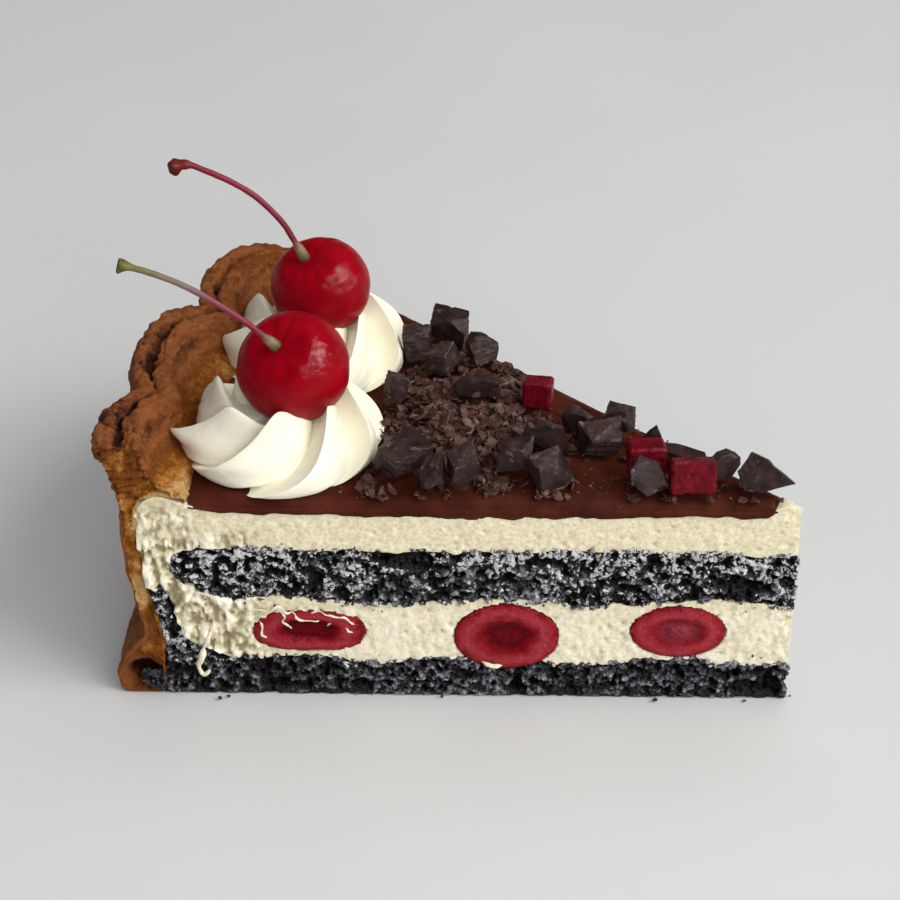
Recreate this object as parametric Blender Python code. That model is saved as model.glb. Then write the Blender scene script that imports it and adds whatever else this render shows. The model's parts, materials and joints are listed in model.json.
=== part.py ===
"""Black forest cake slice in a fluted pastry crust, in metres, +Z up, standing on z = 0.

Everything is laid out round the slice's tip: r runs from the tip to the crust, and psi turns from
the near cut (psi = 0, facing -Y) to the far cut. Each layer is an (r, z) section swept from one cut
to the other, so a layer always shows at both cuts. The last step puts the origin at the bottom
centre of the whole slice.
"""

import math
import random

import bmesh
import bpy
from mathutils import Matrix, Vector

MM = 0.001
GAP = 0.3 * MM  # clearance between pieces that touch

# The slice
SLICE_ANGLE = math.radians(43)
TIP_RADIUS = 0.4 * MM  # the knife leaves a blunt tip
LAYER_STEPS = 8  # sections from cut to cut in a layer
LAYER_SPANS = 5  # spans from the tip to the layer's curved end

# Layer surfaces: mean height, swell, wavelength along X, where along X the swell peaks
BASE_TOP = (7.6 * MM, 0.6 * MM, 34 * MM, -88 * MM)
MIDDLE_BOTTOM = (20.1 * MM, 0.6 * MM, 36 * MM, -50 * MM)
MIDDLE_TOP = (30.6 * MM, 0.4 * MM, 62 * MM, -34 * MM)
CREAM_TOP = (38.0 * MM, 0.4 * MM, 70 * MM, -88 * MM)
GANACHE_TOP = (40.7 * MM, 0.3 * MM, 48 * MM, -96 * MM)
LAYER_END = 96 * MM  # where the flat layers give way to the rounded corner at the crust
# Corners of each layer near the crust, in millimetres: r and z
BASE_SIDE = ((108.4, 0), (107.6, 5), (107.6, 12), (109.0, 18.6), (109.2, 21.6))
BASE_LIP = ((107.9, 22.5), (106.8, 20.6), (105.6, 15.0), (103.4, 10.6))
MIDDLE_NOSE = ((101.2, 21.9), (104.6, 24.2), (105.9, 27.0), (105.0, 29.2), (101.0, 30.6))
CREAM_BEND = ((103.1, 11.0), (105.2, 15.2), (106.4, 20.8), (107.7, 22.95), (109.3, 22.1))
CREAM_WALL = ((109.8, 26.0), (110.9, 34.0), (110.3, 38.7), (107.4, 40.5), (102.6, 39.0))
CREAM_SLOT = ((101.1, 31.0), (105.3, 29.6), (106.4, 27.0), (104.9, 23.8), (101.4, 21.4))
GANACHE_RIM = ((102.1, 39.2), (102.3, 40.2))

# Ganache
GANACHE_START = 4.2 * MM  # it stops short of the tip, where the cream shows
GANACHE_FLOW = 0.5 * MM  # how far its upper edge is drawn in by the knife
GANACHE_EDGE = 1.0 * MM  # height of its blunt edge at the tip
TIP_CREAM_DROP = 0.6 * MM  # the cream at the tip stays this much lower than the ganache
TIP_CREAM_STEP = 2.0 * MM  # length of the slope between them

# Pastry crust
CRUST_STEPS = 26
CRUST_GROWTH = 4.6 * MM  # the tin's centre lies beyond the tip, so the crust is further out at the far cut
FLUTE_PITCH = math.radians(15.1)
FLUTE_FIRST = math.radians(3.4)  # the first outward wave
FLUTE_FALL = 0.43  # share of a wave from its outermost point to the fold
FLUTE_POWER = 2.2  # broad waves and narrow folds
FLUTE_DEPTH = (1.9 * MM, 3.7 * MM)  # at the near cut and at the far cut
FLUTE_LIFT = 0.5 * MM
FAR_DROP = 5.6 * MM  # the rim sinks where it was cut at the far side
FAR_DROP_SHARE = 0.25  # of the slice's angle
# Corners of the crust's section, in millimetres: r, z, and its share of the flute's wave
CRUST_FOOT = ((108.8, 0.0, 0.0), (115.4, 0.0, 0.0), (116.6, 3.2, 0.0), (114.8, 8.0, 0.0))
CRUST_WALL = ((111.2, 12.6, 0.0), (112.8, 19.0, 0.0), (113.8, 28.0, 0.0), (113.9, 37.0, 0.1))
CRUST_LIP = ((114.4, 43.0, 0.5), (115.6, 47.4, 1.0), (114.2, 50.8, 1.0), (111.6, 48.4, 1.0))
CRUST_RIDGE = ((109.6, 50.2, 1.0), (106.6, 47.2, 0.8), (104.4, 43.8, 0.5), (102.8, 41.2, 0.1))
CRUST_INSIDE = ((102.5, 39.5, 0.0), (107.4, 40.9, 0.0), (110.6, 38.9, 0.0), (111.2, 34.0, 0.0),
                (110.1, 26.0, 0.0), (109.5, 20.0, 0.0), (107.9, 12.0, 0.0), (107.9, 5.0, 0.0))
CRUST_SHOWN = CRUST_FOOT[1:] + CRUST_WALL + CRUST_LIP + CRUST_RIDGE
RIM_FROM = 40.0  # height in millimetres where the rim begins

# Cherries on the cream: centre (x, y from the tip, z), radius, and the direction of the stem end
TOP_CHERRIES = {
    "front": ((-85.3 * MM, 17.2 * MM, 56.1 * MM), 9.6 * MM, (-0.246, -0.536, 0.805)),
    "back": ((-82.3 * MM, 45.0 * MM, 56.2 * MM), 8.9 * MM, (-0.317, -0.310, 0.890)),
}
CHERRY_SQUASH = 0.96  # height of a cherry over its width
DIMPLE_DEPTH = 2.0 * MM
DIMPLE_WIDTH = 0.42  # radians from the stem end

# Stems: the way from the cherry's dimple to the free end, and the radius along it
STEM_PATHS = {
    "front": ((-87.4, 12.7, 62.6), (-89.4, 12.6, 64.6), (-92.0, 12.7, 66.9), (-96.3, 13.0, 70.1),
              (-101.4, 13.4, 73.2), (-106.1, 13.8, 75.2), (-110.1, 14.0, 76.5), (-113.0, 14.0, 77.2)),
    "back": ((-84.7, 42.6, 62.9), (-86.2, 42.6, 65.9), (-88.6, 42.7, 70.2), (-92.7, 42.9, 74.7),
             (-96.8, 43.0, 77.5), (-101.0, 43.0, 79.6), (-104.4, 43.0, 80.9), (-107.6, 43.0, 80.2)),
}
STEM_RADIUS = 0.62 * MM
STEM_BASE_SWELL = 0.35  # extra radius at the cherry, as a share
STEM_END_SWELL = 1.5  # extra radius at the free end, as a share

# Piped cream rosettes: centre from the tip, radius and height, and the turn of the first petal
ROSETTES = {
    "front": ((-88.2 * MM, 17.2 * MM), 17.6 * MM, 9.6 * MM, math.radians(22)),
    "back": ((-84.0 * MM, 47.0 * MM), 16.2 * MM, 10.2 * MM, math.radians(36)),
}
PETALS = 7
PETAL_SAMPLES = 8
PETAL_DEPTH = 0.24  # how far a groove cuts in, as a share of the radius
PETAL_DROP = 0.30  # how far a groove dips, as a share of the height
PETAL_FULLNESS = 0.6  # the lower, the fuller a petal is where it rests
ROSETTE_TWIST = 2.6  # radians that a ridge turns on its way to the middle
# Rings of a rosette: share of the radius, share of the height, sharpness of the petals
ROSETTE_RINGS = ((0.88, 0.0, 0.0), (0.97, 0.1, 0.1), (1.0, 0.32, 0.5), (0.97, 0.6, 0.9),
                 (0.88, 0.83, 1.0), (0.7, 0.97, 1.0), (0.45, 1.0, 1.0), (0.2, 0.95, 1.0))
ROSETTE_CROWN = 0.8  # height of the middle, as a share

# Cut cherries in the filling: cut, distance from the tip, depth of the centre behind the cut, height
# of the centre, and the half sizes along the cut, into the cake and upwards
FILLING_CHERRIES = {
    "near_1": ("near", 82.8, 1.6, 13.6, (9.7, 7.5, 4.3)),
    "near_2": ("near", 49.0, 1.4, 12.7, (9.0, 8.6, 6.9)),
    "near_3": ("near", 19.6, 1.2, 14.1, (8.2, 6.4, 5.4)),
    "far_1": ("far", 30.0, 1.4, 13.8, (8.4, 6.6, 5.5)),
    "far_2": ("far", 58.0, 1.6, 13.0, (8.8, 8.0, 6.2)),
    "far_3": ("far", 86.0, 1.4, 13.8, (8.6, 7.4, 5.4)),
}
FILLING_CHERRY_MESH = (12, 7)  # segments round and rings

# Red fruit jelly squares: centre from the tip, sizes, turn and backward lean in degrees
JELLY_SQUARES = {
    "front": ((-18.5, 2.4), (7.6, 3.0, 5.8), 5, 16),
    "middle": ((-26.0, 6.9), (6.2, 4.6, 6.3), 4, 4),
    "back": ((-43.8, 26.8), (5.0, 4.0, 5.0), -10, 8),
}
JELLY_BEVEL = 0.4 * MM

# Heap of chocolate shavings: centre from the tip, half sizes, height in the middle and at the rim
HEAP_CENTRE = Vector((-56.6, 23.0)) * MM
HEAP_HALF = Vector((12.6, 21.0)) * MM
HEAP_HEIGHT = 3.2 * MM
HEAP_EDGE = 0.9 * MM
HEAP_LUMPS = 0.10  # unevenness of the outline, as a share
HEAP_SLOPE = 0.8  # share of the half sizes over which the rings close in
HEAP_SECTORS = 20
HEAP_RINGS = 4

# Outlines of flat shards, as shares of their width and height
OUTLINES = {
    "slab": ((-0.28, 0.5), (0.05, 0.44), (0.5, 0.06), (0.36, -0.4), (-0.38, -0.5), (-0.5, 0.16)),
    "shard": ((-0.24, 0.5), (0.1, 0.38), (0.48, 0.24), (0.36, -0.3), (0.0, -0.5), (-0.5, -0.2),
              (-0.42, 0.16)),
    "fin": ((0.18, 0.5), (0.42, 0.12), (0.3, -0.5), (-0.26, -0.34), (-0.5, -0.04), (-0.14, 0.32)),
    "pentagon": ((-0.24, 0.5), (0.24, 0.32), (0.38, 0.05), (0.5, -0.3), (-0.03, -0.5), (-0.44, -0.2),
                 (-0.46, 0.12)),
    "jagged": ((-0.48, -0.06), (-0.36, 0.32), (-0.31, 0.5), (-0.02, 0.38), (0.1, 0.23), (0.5, -0.12),
               (0.22, -0.3), (-0.02, -0.47), (-0.31, -0.5)),
    "hook": ((-0.5, -0.5), (-0.42, 0.02), (-0.1, 0.42), (0.2, 0.5), (0.48, 0.3), (0.5, -0.04), (0.2, -0.5)),
}
# Chocolate chunks: centre from the tip, sizes, the turn about Z and the backward lean in degrees, and
# the outline of a flat one
CHUNKS = (
    ((-65.3, 44.2), (5.0, 4.4, 5.2), 8, 6, None),
    ((-59.4, 49.6), (5.4, 4.2, 5.2), -12, -8, None),
    ((-53.4, 40.8), (5.6, 2.6, 5.8), 24, 14, "slab"),
    ((-60.2, 37.4), (4.4, 3.4, 3.8), 60, 10, None),
    ((-68.4, 28.0), (4.2, 2.4, 6.0), 20, 10, "shard"),
    ((-54.0, 27.4), (7.4, 4.2, 3.4), -5, 12, None),
    ((-66.8, 6.6), (7.2, 5.2, 5.2), 38, -10, None),
    ((-61.4, 2.6), (4.2, 3.4, 4.2), 70, 6, None),
    ((-56.2, 3.4), (5.2, 4.0, 4.6), 15, -8, None),
    ((-48.2, 7.8), (5.2, 4.4, 4.4), -10, 10, None),
    ((-42.6, 4.4), (6.2, 4.8, 4.8), 42, -8, None),
    ((-42.4, 13.6), (7.0, 4.4, 4.2), -14, 8, None),
    ((-37.0, 20.8), (4.6, 2.8, 3.4), -35, 10, None),
    ((-33.2, 14.6), (5.8, 4.6, 5.0), 6, -6, None),
    ((-30.2, 19.9), (5.0, 3.4, 4.4), -22, 8, None),
    ((-26.0, 2.0), (6.4, 1.5, 7.0), 6, 24, "pentagon"),
    ((-19.6, 11.2), (6.8, 3.6, 1.6), -24, 0, None),
    ((-24.6, 13.8), (3.6, 1.3, 5.6), 10, -10, "fin"),
    ((-13.2, 7.0), (5.6, 2.8, 4.4), 14, 14, "hook"),
    ((-6.3, 2.7), (10.0, 1.7, 6.6), -16, 30, "jagged"),
)
CHUNK_PULL = 0.2  # how far a corner is pulled about, as a share of the size
CHUNK_CHOPS = 2  # corners broken off each block
CHUNK_LEFT = (0.62, 0.8)  # least and most of a block left towards a broken corner, as a share
SHARD_BREAK = 0.8  # how much of a flat shard is left towards its broken edges, as a share
CHUNK_TILT = 10  # degrees of sideways tilt, at most

COLOURS = {  # base colour, roughness
    "pastry": ((0.42, 0.19, 0.06), 0.6),
    "dark_sponge": ((0.012, 0.011, 0.013), 0.85),
    "cream": ((0.80, 0.74, 0.58), 0.55),
    "whipped_cream": ((0.88, 0.84, 0.70), 0.45),
    "ganache": ((0.085, 0.026, 0.014), 0.4),
    "dark_chocolate": ((0.035, 0.018, 0.014), 0.4),
    "cherry": ((0.45, 0.004, 0.012), 0.12),
    "cherry_stem": ((0.22, 0.06, 0.05), 0.5),
    "cherry_flesh": ((0.32, 0.012, 0.022), 0.25),
    "fruit_jelly": ((0.30, 0.006, 0.03), 0.3),
}


def collection(name):
    made = bpy.data.collections.new(name)
    bpy.context.scene.collection.children.link(made)
    return made


def material(name):
    """The named material, made on first use."""
    found = bpy.data.materials.get(name)
    if found:
        return found
    colour, roughness = COLOURS[name]
    made = bpy.data.materials.new(name)
    made.use_nodes = True
    made.diffuse_color = (*colour, 1)
    shader = made.node_tree.nodes["Principled BSDF"]
    shader.inputs["Base Color"].default_value = (*colour, 1)
    shader.inputs["Roughness"].default_value = roughness
    return made


def add_object(name, bm, finish, home, smooth_below=40):
    """Turns a bmesh into an object with one material, smooth where its faces meet under that angle."""
    bm.normal_update()
    bmesh.ops.recalc_face_normals(bm, faces=bm.faces)
    mesh = bpy.data.meshes.new(name)
    bm.to_mesh(mesh)
    bm.free()
    mesh.shade_smooth()
    mesh.set_sharp_from_angle(angle=math.radians(smooth_below))
    mesh.materials.append(material(finish))
    obj = bpy.data.objects.new(name, mesh)
    home.objects.link(obj)
    return obj


def hide_cutter(obj):
    obj.hide_render = True
    obj.display_type = "WIRE"


def cut(target, cutter):
    modifier = target.modifiers.new("cut_" + cutter.name, "BOOLEAN")
    modifier.operation = "DIFFERENCE"
    modifier.object = cutter


def polar(r, psi, z):
    return Vector((-r * math.cos(psi), r * math.sin(psi), z))


def growth(psi):
    return CRUST_GROWTH * psi / SLICE_ANGLE


def flute(psi):
    """How far the crust's rim stands out: broad waves outwards with a narrow fold between them."""
    turn = (psi - FLUTE_FIRST) / FLUTE_PITCH % 1
    away = turn / FLUTE_FALL if turn < FLUTE_FALL else (1 - turn) / (1 - FLUTE_FALL)
    low, high = FLUTE_DEPTH
    return (1 - 2 * away**FLUTE_POWER) * (low + (high - low) * psi / SLICE_ANGLE)


def far_drop(psi):
    """How much lower the rim is close to the far cut."""
    share = max(0, 1 - (1 - psi / SLICE_ANGLE) / FAR_DROP_SHARE)
    return FAR_DROP * share * share


def level(surface, x, y):
    """Height of a gently uneven layer surface."""
    height, swell, length, peak = surface
    return height + swell * math.cos(math.tau * (x - peak) / length) * math.cos(y / length)


def span(surface, psi, start, end, offset):
    """Points of a layer surface from r = start to r = end, moved by offset in z."""
    points = []
    for i in range(LAYER_SPANS + 1):
        r = start + (end - start) * i / LAYER_SPANS
        x, y, _ = polar(r, psi, 0)
        points.append((r, level(surface, x, y) + offset))
    return points


def near_crust(psi, points):
    """Section points in millimetres, moved out with the crust."""
    return [(r * MM + growth(psi), z * MM) for r, z in points]


def sweep(name, section, steps, finish, home):
    """Sweeps a closed section, given by psi, from the near cut to the far cut, and caps both."""
    bm = bmesh.new()
    rings = []
    for i in range(steps + 1):
        psi = SLICE_ANGLE * i / steps
        rings.append([bm.verts.new(polar(r, psi, z)) for r, z in section(psi)])
    count = len(rings[0])
    for near, far in zip(rings, rings[1:]):
        for j in range(count):
            k = (j + 1) % count
            bm.faces.new((near[j], near[k], far[k], far[j]))
    bm.faces.new(rings[0])
    bm.faces.new(rings[-1])
    return add_object(name, bm, finish, home)


def base_section(psi):
    """Bottom sponge: flat below, and turned up along the crust."""
    end = LAYER_END + growth(psi)
    top = span(BASE_TOP, psi, end, TIP_RADIUS, -GAP / 2)
    return [(TIP_RADIUS, 0)] + near_crust(psi, BASE_SIDE + BASE_LIP) + top


def middle_section(psi):
    """Middle sponge, rounded where it ends in the cream."""
    end = LAYER_END + growth(psi)
    below = span(MIDDLE_BOTTOM, psi, TIP_RADIUS, end, GAP / 2)
    above = span(MIDDLE_TOP, psi, end, TIP_RADIUS, -GAP / 2)
    return below + near_crust(psi, MIDDLE_NOSE) + above


def cream_section(psi):
    """The cream in one piece: under, round and over the middle sponge."""
    end = LAYER_END + growth(psi)
    tip_height = GANACHE_TOP[0] - TIP_CREAM_DROP
    shoulder = [(GANACHE_START - GAP, tip_height), (TIP_RADIUS, tip_height - GAP)]
    return (
        span(BASE_TOP, psi, TIP_RADIUS, end, GAP / 2)
        + near_crust(psi, CREAM_BEND + CREAM_WALL)
        + span(CREAM_TOP, psi, end, GANACHE_START + TIP_CREAM_STEP, -GAP / 2)
        + [(GANACHE_START, CREAM_TOP[0])]
        + shoulder
        + span(MIDDLE_TOP, psi, TIP_RADIUS, end, GAP / 2)
        + near_crust(psi, CREAM_SLOT)
        + span(MIDDLE_BOTTOM, psi, end, TIP_RADIUS, -GAP / 2)
    )


def ganache_section(psi):
    """Chocolate layer on top, its upper edge drawn in a little."""
    end = LAYER_END + growth(psi)
    below = span(CREAM_TOP, psi, GANACHE_START + TIP_CREAM_STEP, end, GAP / 2)
    above = span(GANACHE_TOP, psi, end, GANACHE_START + GANACHE_FLOW, 0)
    return [(GANACHE_START, GANACHE_TOP[0] - GANACHE_EDGE)] + below + near_crust(psi, GANACHE_RIM) + above


def smooth_line(corners):
    """The corners with one point added between neighbours, on a Catmull-Rom curve."""
    line = [corners[0], *corners, corners[-1]]
    made = [corners[0]]
    for before, here, after, beyond in zip(line, line[1:], line[2:], line[3:]):
        made.append(tuple((9 * (a + b) - c - d) / 16 for a, b, c, d in zip(here, after, before, beyond)))
        made.append(after)
    return made


def crust_section(psi, shift=0):
    wave = flute(psi)
    section = []
    for r, z, share in [CRUST_FOOT[0], *smooth_line(CRUST_SHOWN), *CRUST_INSIDE]:
        out = r * MM + growth(psi) + share * wave + shift
        sink = share * far_drop(psi) if z > RIM_FROM else 0
        section.append((out, max(z, 0) * MM + share * wave * FLUTE_LIFT / FLUTE_DEPTH[1] - sink))
    return section


def neighbour_section(psi):
    """The crust moved inwards, to hold its neighbours clear of it."""
    return crust_section(psi, -1.5 * GAP)


def cherry(which, home):
    """A whole cherry: a sphere with a dimple at its stem end."""
    centre, radius, axis = TOP_CHERRIES[which]
    bm = bmesh.new()
    bmesh.ops.create_uvsphere(bm, u_segments=18, v_segments=11, radius=radius)
    for vert in bm.verts:
        away = math.acos(max(-1, min(1, vert.co.z / radius)))
        vert.co.z = vert.co.z * CHERRY_SQUASH - DIMPLE_DEPTH * math.exp(-((away / DIMPLE_WIDTH) ** 2))
    obj = add_object("cherry_" + which, bm, "cherry", home)
    obj.location = centre
    obj.rotation_mode = "QUATERNION"
    obj.rotation_quaternion = Vector(axis).to_track_quat("Z", "Y")
    return obj


def stem(which, home):
    """A tapered stem: thicker at the cherry, and flared where it was picked."""
    path = STEM_PATHS[which]
    curve = bpy.data.curves.new("stem_" + which, "CURVE")
    curve.dimensions = "3D"
    curve.bevel_depth = STEM_RADIUS
    curve.bevel_resolution = 2
    curve.use_fill_caps = True
    curve.resolution_u = 2
    spline = curve.splines.new("BEZIER")
    spline.bezier_points.add(len(path) - 1)
    for i, (point, place) in enumerate(zip(spline.bezier_points, path)):
        along = i / (len(path) - 1)
        point.co = Vector(place) * MM
        point.handle_left_type = point.handle_right_type = "AUTO"
        point.radius = 1 + STEM_BASE_SWELL * (1 - along) ** 4 + STEM_END_SWELL * along**6
    curve.materials.append(material("cherry_stem"))
    obj = bpy.data.objects.new("stem_" + which, curve)
    home.objects.link(obj)
    return obj


def petal(turn, sharpness):
    """1 on a petal, 0 in the groove between two: full where it rests, a sharp ridge further up."""
    full = abs(math.cos(math.pi * turn)) ** PETAL_FULLNESS
    ridge = 1 - abs(math.sin(math.pi * turn))
    return full + (ridge - full) * sharpness


def rosette_shape(which, extra):
    """A piped swirl about its own centre: petals that turn as they climb. Extra widens it."""
    _, radius, height, start = ROSETTES[which]
    bm = bmesh.new()
    rings = []
    for share, rise, sharpness in ROSETTE_RINGS:
        turned = start + ROSETTE_TWIST * (1 - share) * rise
        ring = []
        for j in range(PETALS * PETAL_SAMPLES):
            phi = math.tau * j / (PETALS * PETAL_SAMPLES) + turned
            groove = 1 - petal(j / PETAL_SAMPLES, sharpness)
            r = radius * share * (1 - PETAL_DEPTH * groove) + extra
            z = height * rise * (1 - PETAL_DROP * groove) + (extra if rise else -extra)
            ring.append(bm.verts.new((r * math.cos(phi), r * math.sin(phi), z)))
        rings.append(ring)
    count = len(rings[0])
    for low, high in zip(rings, rings[1:]):
        for j in range(count):
            k = (j + 1) % count
            bm.faces.new((low[j], low[k], high[k], high[j]))
    bm.faces.new(rings[0])
    top = bm.verts.new((0, 0, height * ROSETTE_CROWN + extra))
    for j in range(count):
        bm.faces.new((rings[-1][j], rings[-1][(j + 1) % count], top))
    return bm


def rosette(which, home, cutters):
    """A rosette pressed against its neighbours, with a seat for its cherry."""
    (x, y), *_ = ROSETTES[which]
    obj = add_object("rosette_" + which, rosette_shape(which, 0), "whipped_cream", home, smooth_below=50)
    obj.location = (x, y, GANACHE_TOP[0] + GANACHE_TOP[1] + GAP)
    centre, cherry_radius, _ = TOP_CHERRIES[which]
    seat = bmesh.new()
    bmesh.ops.create_uvsphere(seat, u_segments=16, v_segments=9, radius=cherry_radius + 2 * GAP)
    cutter = add_object("seat_" + which, seat, "whipped_cream", cutters)
    cutter.location = centre
    hide_cutter(cutter)
    cut(obj, cutter)
    return obj


def press_rosettes(cutters):
    """The back rosette gives way to the front one, and both give way to the crust."""
    wider = add_object("front_neighbour", rosette_shape("front", 2 * GAP), "whipped_cream", cutters)
    wider.location = bpy.data.objects["rosette_front"].location
    wall = sweep("crust_neighbour", neighbour_section, CRUST_STEPS, "pastry", cutters)
    for cutter in (wider, wall):
        hide_cutter(cutter)
        cut(bpy.data.objects["rosette_back"], cutter)
    cut(bpy.data.objects["rosette_front"], wall)


def cut_frame(side):
    """Directions of a cut: along it from the tip, into the cake, and up."""
    if side == "near":
        return Matrix(((-1, 0, 0), (0, 1, 0), (0, 0, 1))).transposed()
    cos, sin = math.cos(SLICE_ANGLE), math.sin(SLICE_ANGLE)
    return Matrix(((-cos, sin, 0), (-sin, -cos, 0), (0, 0, 1))).transposed()


def ellipsoid(half_sizes, frame, centre):
    bm = bmesh.new()
    round_, rings = FILLING_CHERRY_MESH
    bmesh.ops.create_uvsphere(bm, u_segments=round_, v_segments=rings, radius=1)
    for vert in bm.verts:
        vert.co = centre + frame @ Vector(a * b for a, b in zip(vert.co, half_sizes))
    return bm


def filling_cherry(which, home, cutters):
    """A cherry that the knife went through, flat at the cut, and the cutter of its pocket."""
    side, along, depth, height, half = FILLING_CHERRIES[which]
    frame = cut_frame(side)
    centre = frame @ (Vector((along, depth, height)) * MM)
    half = Vector(half) * MM
    bm = ellipsoid(half, frame, centre)
    everything = bm.verts[:] + bm.edges[:] + bm.faces[:]
    inwards = frame @ Vector((0, 1, 0))
    cut_geometry = bmesh.ops.bisect_plane(
        bm, geom=everything, plane_co=(0, 0, 0), plane_no=inwards, clear_inner=True
    )["geom_cut"]
    bmesh.ops.edgeloop_fill(bm, edges=[e for e in cut_geometry if isinstance(e, bmesh.types.BMEdge)])
    add_object("filling_cherry_" + which, bm, "cherry_flesh", home)
    around = ellipsoid(half + Vector((GAP, GAP, GAP)), frame, centre)
    cutter = add_object("pocket_" + which, around, "cream", cutters)
    hide_cutter(cutter)
    return cutter


def top_of_heap(x, y):
    """Height of the heap's surface over the ganache's mean top, 0 beyond the heap."""
    away = Vector(((x - HEAP_CENTRE.x) / HEAP_HALF.x, (y - HEAP_CENTRE.y) / HEAP_HALF.y)).length
    if away > 1 + HEAP_LUMPS:
        return GANACHE_TOP[1]
    return GANACHE_TOP[1] + HEAP_EDGE + (HEAP_HEIGHT - HEAP_EDGE) * max(0, 1 - away**2)


def heap(home):
    """The shavings as one low mound with an uneven outline."""
    bm = bmesh.new()
    low, high = [], []
    floor = GANACHE_TOP[0] + GANACHE_TOP[1] + GAP
    for i in range(HEAP_RINGS + 1):
        ring = []
        for j in range(HEAP_SECTORS):
            turn = math.tau * j / HEAP_SECTORS
            uneven = 1 + HEAP_LUMPS * math.sin(5 * turn) * math.cos(3 * turn + 1)
            reach = (1 - i / HEAP_RINGS * HEAP_SLOPE) * uneven
            x = HEAP_CENTRE.x + HEAP_HALF.x * reach * math.cos(turn)
            y = HEAP_CENTRE.y + HEAP_HALF.y * reach * math.sin(turn)
            if i == 0:
                low.append(bm.verts.new((x, y, floor)))
            ring.append(bm.verts.new((x, y, floor - GANACHE_TOP[1] + top_of_heap(x, y))))
        high.append(ring)
    rings = [low] + high
    for outer, inner in zip(rings, rings[1:]):
        for j in range(HEAP_SECTORS):
            k = (j + 1) % HEAP_SECTORS
            bm.faces.new((outer[j], outer[k], inner[k], inner[j]))
    bm.faces.new(low)
    bm.faces.new(high[-1])
    return add_object("shavings_heap", bm, "dark_chocolate", home, smooth_below=30)


def place_leaning(bm, x, y, turn, lean, tilt=0):
    """Turns the shape about Z after leaning it back and tilting it sideways, and moves it to its place."""
    pose = Matrix.Rotation(math.radians(turn), 4, "Z") @ Matrix.Rotation(math.radians(-lean), 4, "X")
    bmesh.ops.transform(bm, matrix=pose @ Matrix.Rotation(tilt, 4, "Y"), verts=bm.verts)
    bmesh.ops.translate(bm, vec=(x * MM, y * MM, 0), verts=bm.verts)


def rest_on_top(name, bm, finish, home, smooth_below):
    """Makes the object with its lowest corner a gap above the ganache or the heap."""
    clear = min(v.co.z - GANACHE_TOP[0] - top_of_heap(v.co.x, v.co.y) for v in bm.verts)
    bmesh.ops.translate(bm, vec=(0, 0, 2 * GAP - clear), verts=bm.verts)
    return add_object(name, bm, finish, home, smooth_below)


def chop(bm, way, reach):
    """Cuts away what lies beyond the plane at that distance from the middle."""
    everything = bm.verts[:] + bm.edges[:] + bm.faces[:]
    opened = bmesh.ops.bisect_plane(
        bm, geom=everything, plane_co=way * reach, plane_no=way, clear_outer=True
    )["geom_cut"]
    bmesh.ops.edgeloop_fill(bm, edges=[e for e in opened if isinstance(e, bmesh.types.BMEdge)])


def block(chance):
    """A unit block with its corners pulled about and some of them broken off."""
    bm = bmesh.new()
    bmesh.ops.create_cube(bm, size=1)
    for vert in bm.verts:
        vert.co += Vector([chance.uniform(-CHUNK_PULL, CHUNK_PULL) for _ in range(3)])
    hull = bmesh.ops.convex_hull(bm, input=bm.verts)
    bmesh.ops.delete(bm, geom=[f for f in bm.faces if f not in hull["geom"]], context="FACES_ONLY")
    for _ in range(CHUNK_CHOPS):
        way = Vector([chance.choice((-1, 1)) * chance.uniform(0.4, 1) for _ in range(3)]).normalized()
        chop(bm, way, max(v.co.dot(way) for v in bm.verts) * chance.uniform(*CHUNK_LEFT))
    return bm


def flat_shard(outline, chance):
    """A unit plate with that outline, broken off at a slant along two of its edges."""
    bm = bmesh.new()
    front = bm.faces.new([bm.verts.new((x, -0.5, z)) for x, z in OUTLINES[outline]])
    made = bmesh.ops.extrude_face_region(bm, geom=[front])["geom"]
    bmesh.ops.translate(bm, vec=(0, 1, 0), verts=[v for v in made if isinstance(v, bmesh.types.BMVert)])
    bmesh.ops.recalc_face_normals(bm, faces=bm.faces)
    for side in (-1, 1):
        way = Vector((side * chance.uniform(0.4, 0.8), -1, chance.uniform(-0.5, 0.5))).normalized()
        chop(bm, way, max(v.co.dot(way) for v in bm.verts) * SHARD_BREAK)
    return bm


def chunk(number, home):
    """A broken piece of chocolate, tipped over a little."""
    (x, y), sizes, turn, lean, outline = CHUNKS[number]
    chance = random.Random(number)
    bm = flat_shard(outline, chance) if outline else block(chance)
    bmesh.ops.scale(bm, vec=Vector(sizes) * MM, verts=bm.verts)
    tilt = 0 if outline else math.radians(chance.uniform(-CHUNK_TILT, CHUNK_TILT))
    place_leaning(bm, x, y, turn, lean, tilt)
    return rest_on_top(f"chocolate_chunk_{number + 1:02d}", bm, "dark_chocolate", home, 20)


def jelly_square(which, home):
    """A soft red square that leans back."""
    (x, y), sizes, turn, lean = JELLY_SQUARES[which]
    bm = bmesh.new()
    bmesh.ops.create_cube(bm, size=1)
    bmesh.ops.scale(bm, vec=Vector(sizes) * MM, verts=bm.verts)
    bmesh.ops.bevel(bm, geom=bm.edges[:], offset=JELLY_BEVEL, segments=1, affect="EDGES")
    place_leaning(bm, x, y, turn, lean)
    return rest_on_top("jelly_square_" + which, bm, "fruit_jelly", home, 40)


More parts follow.
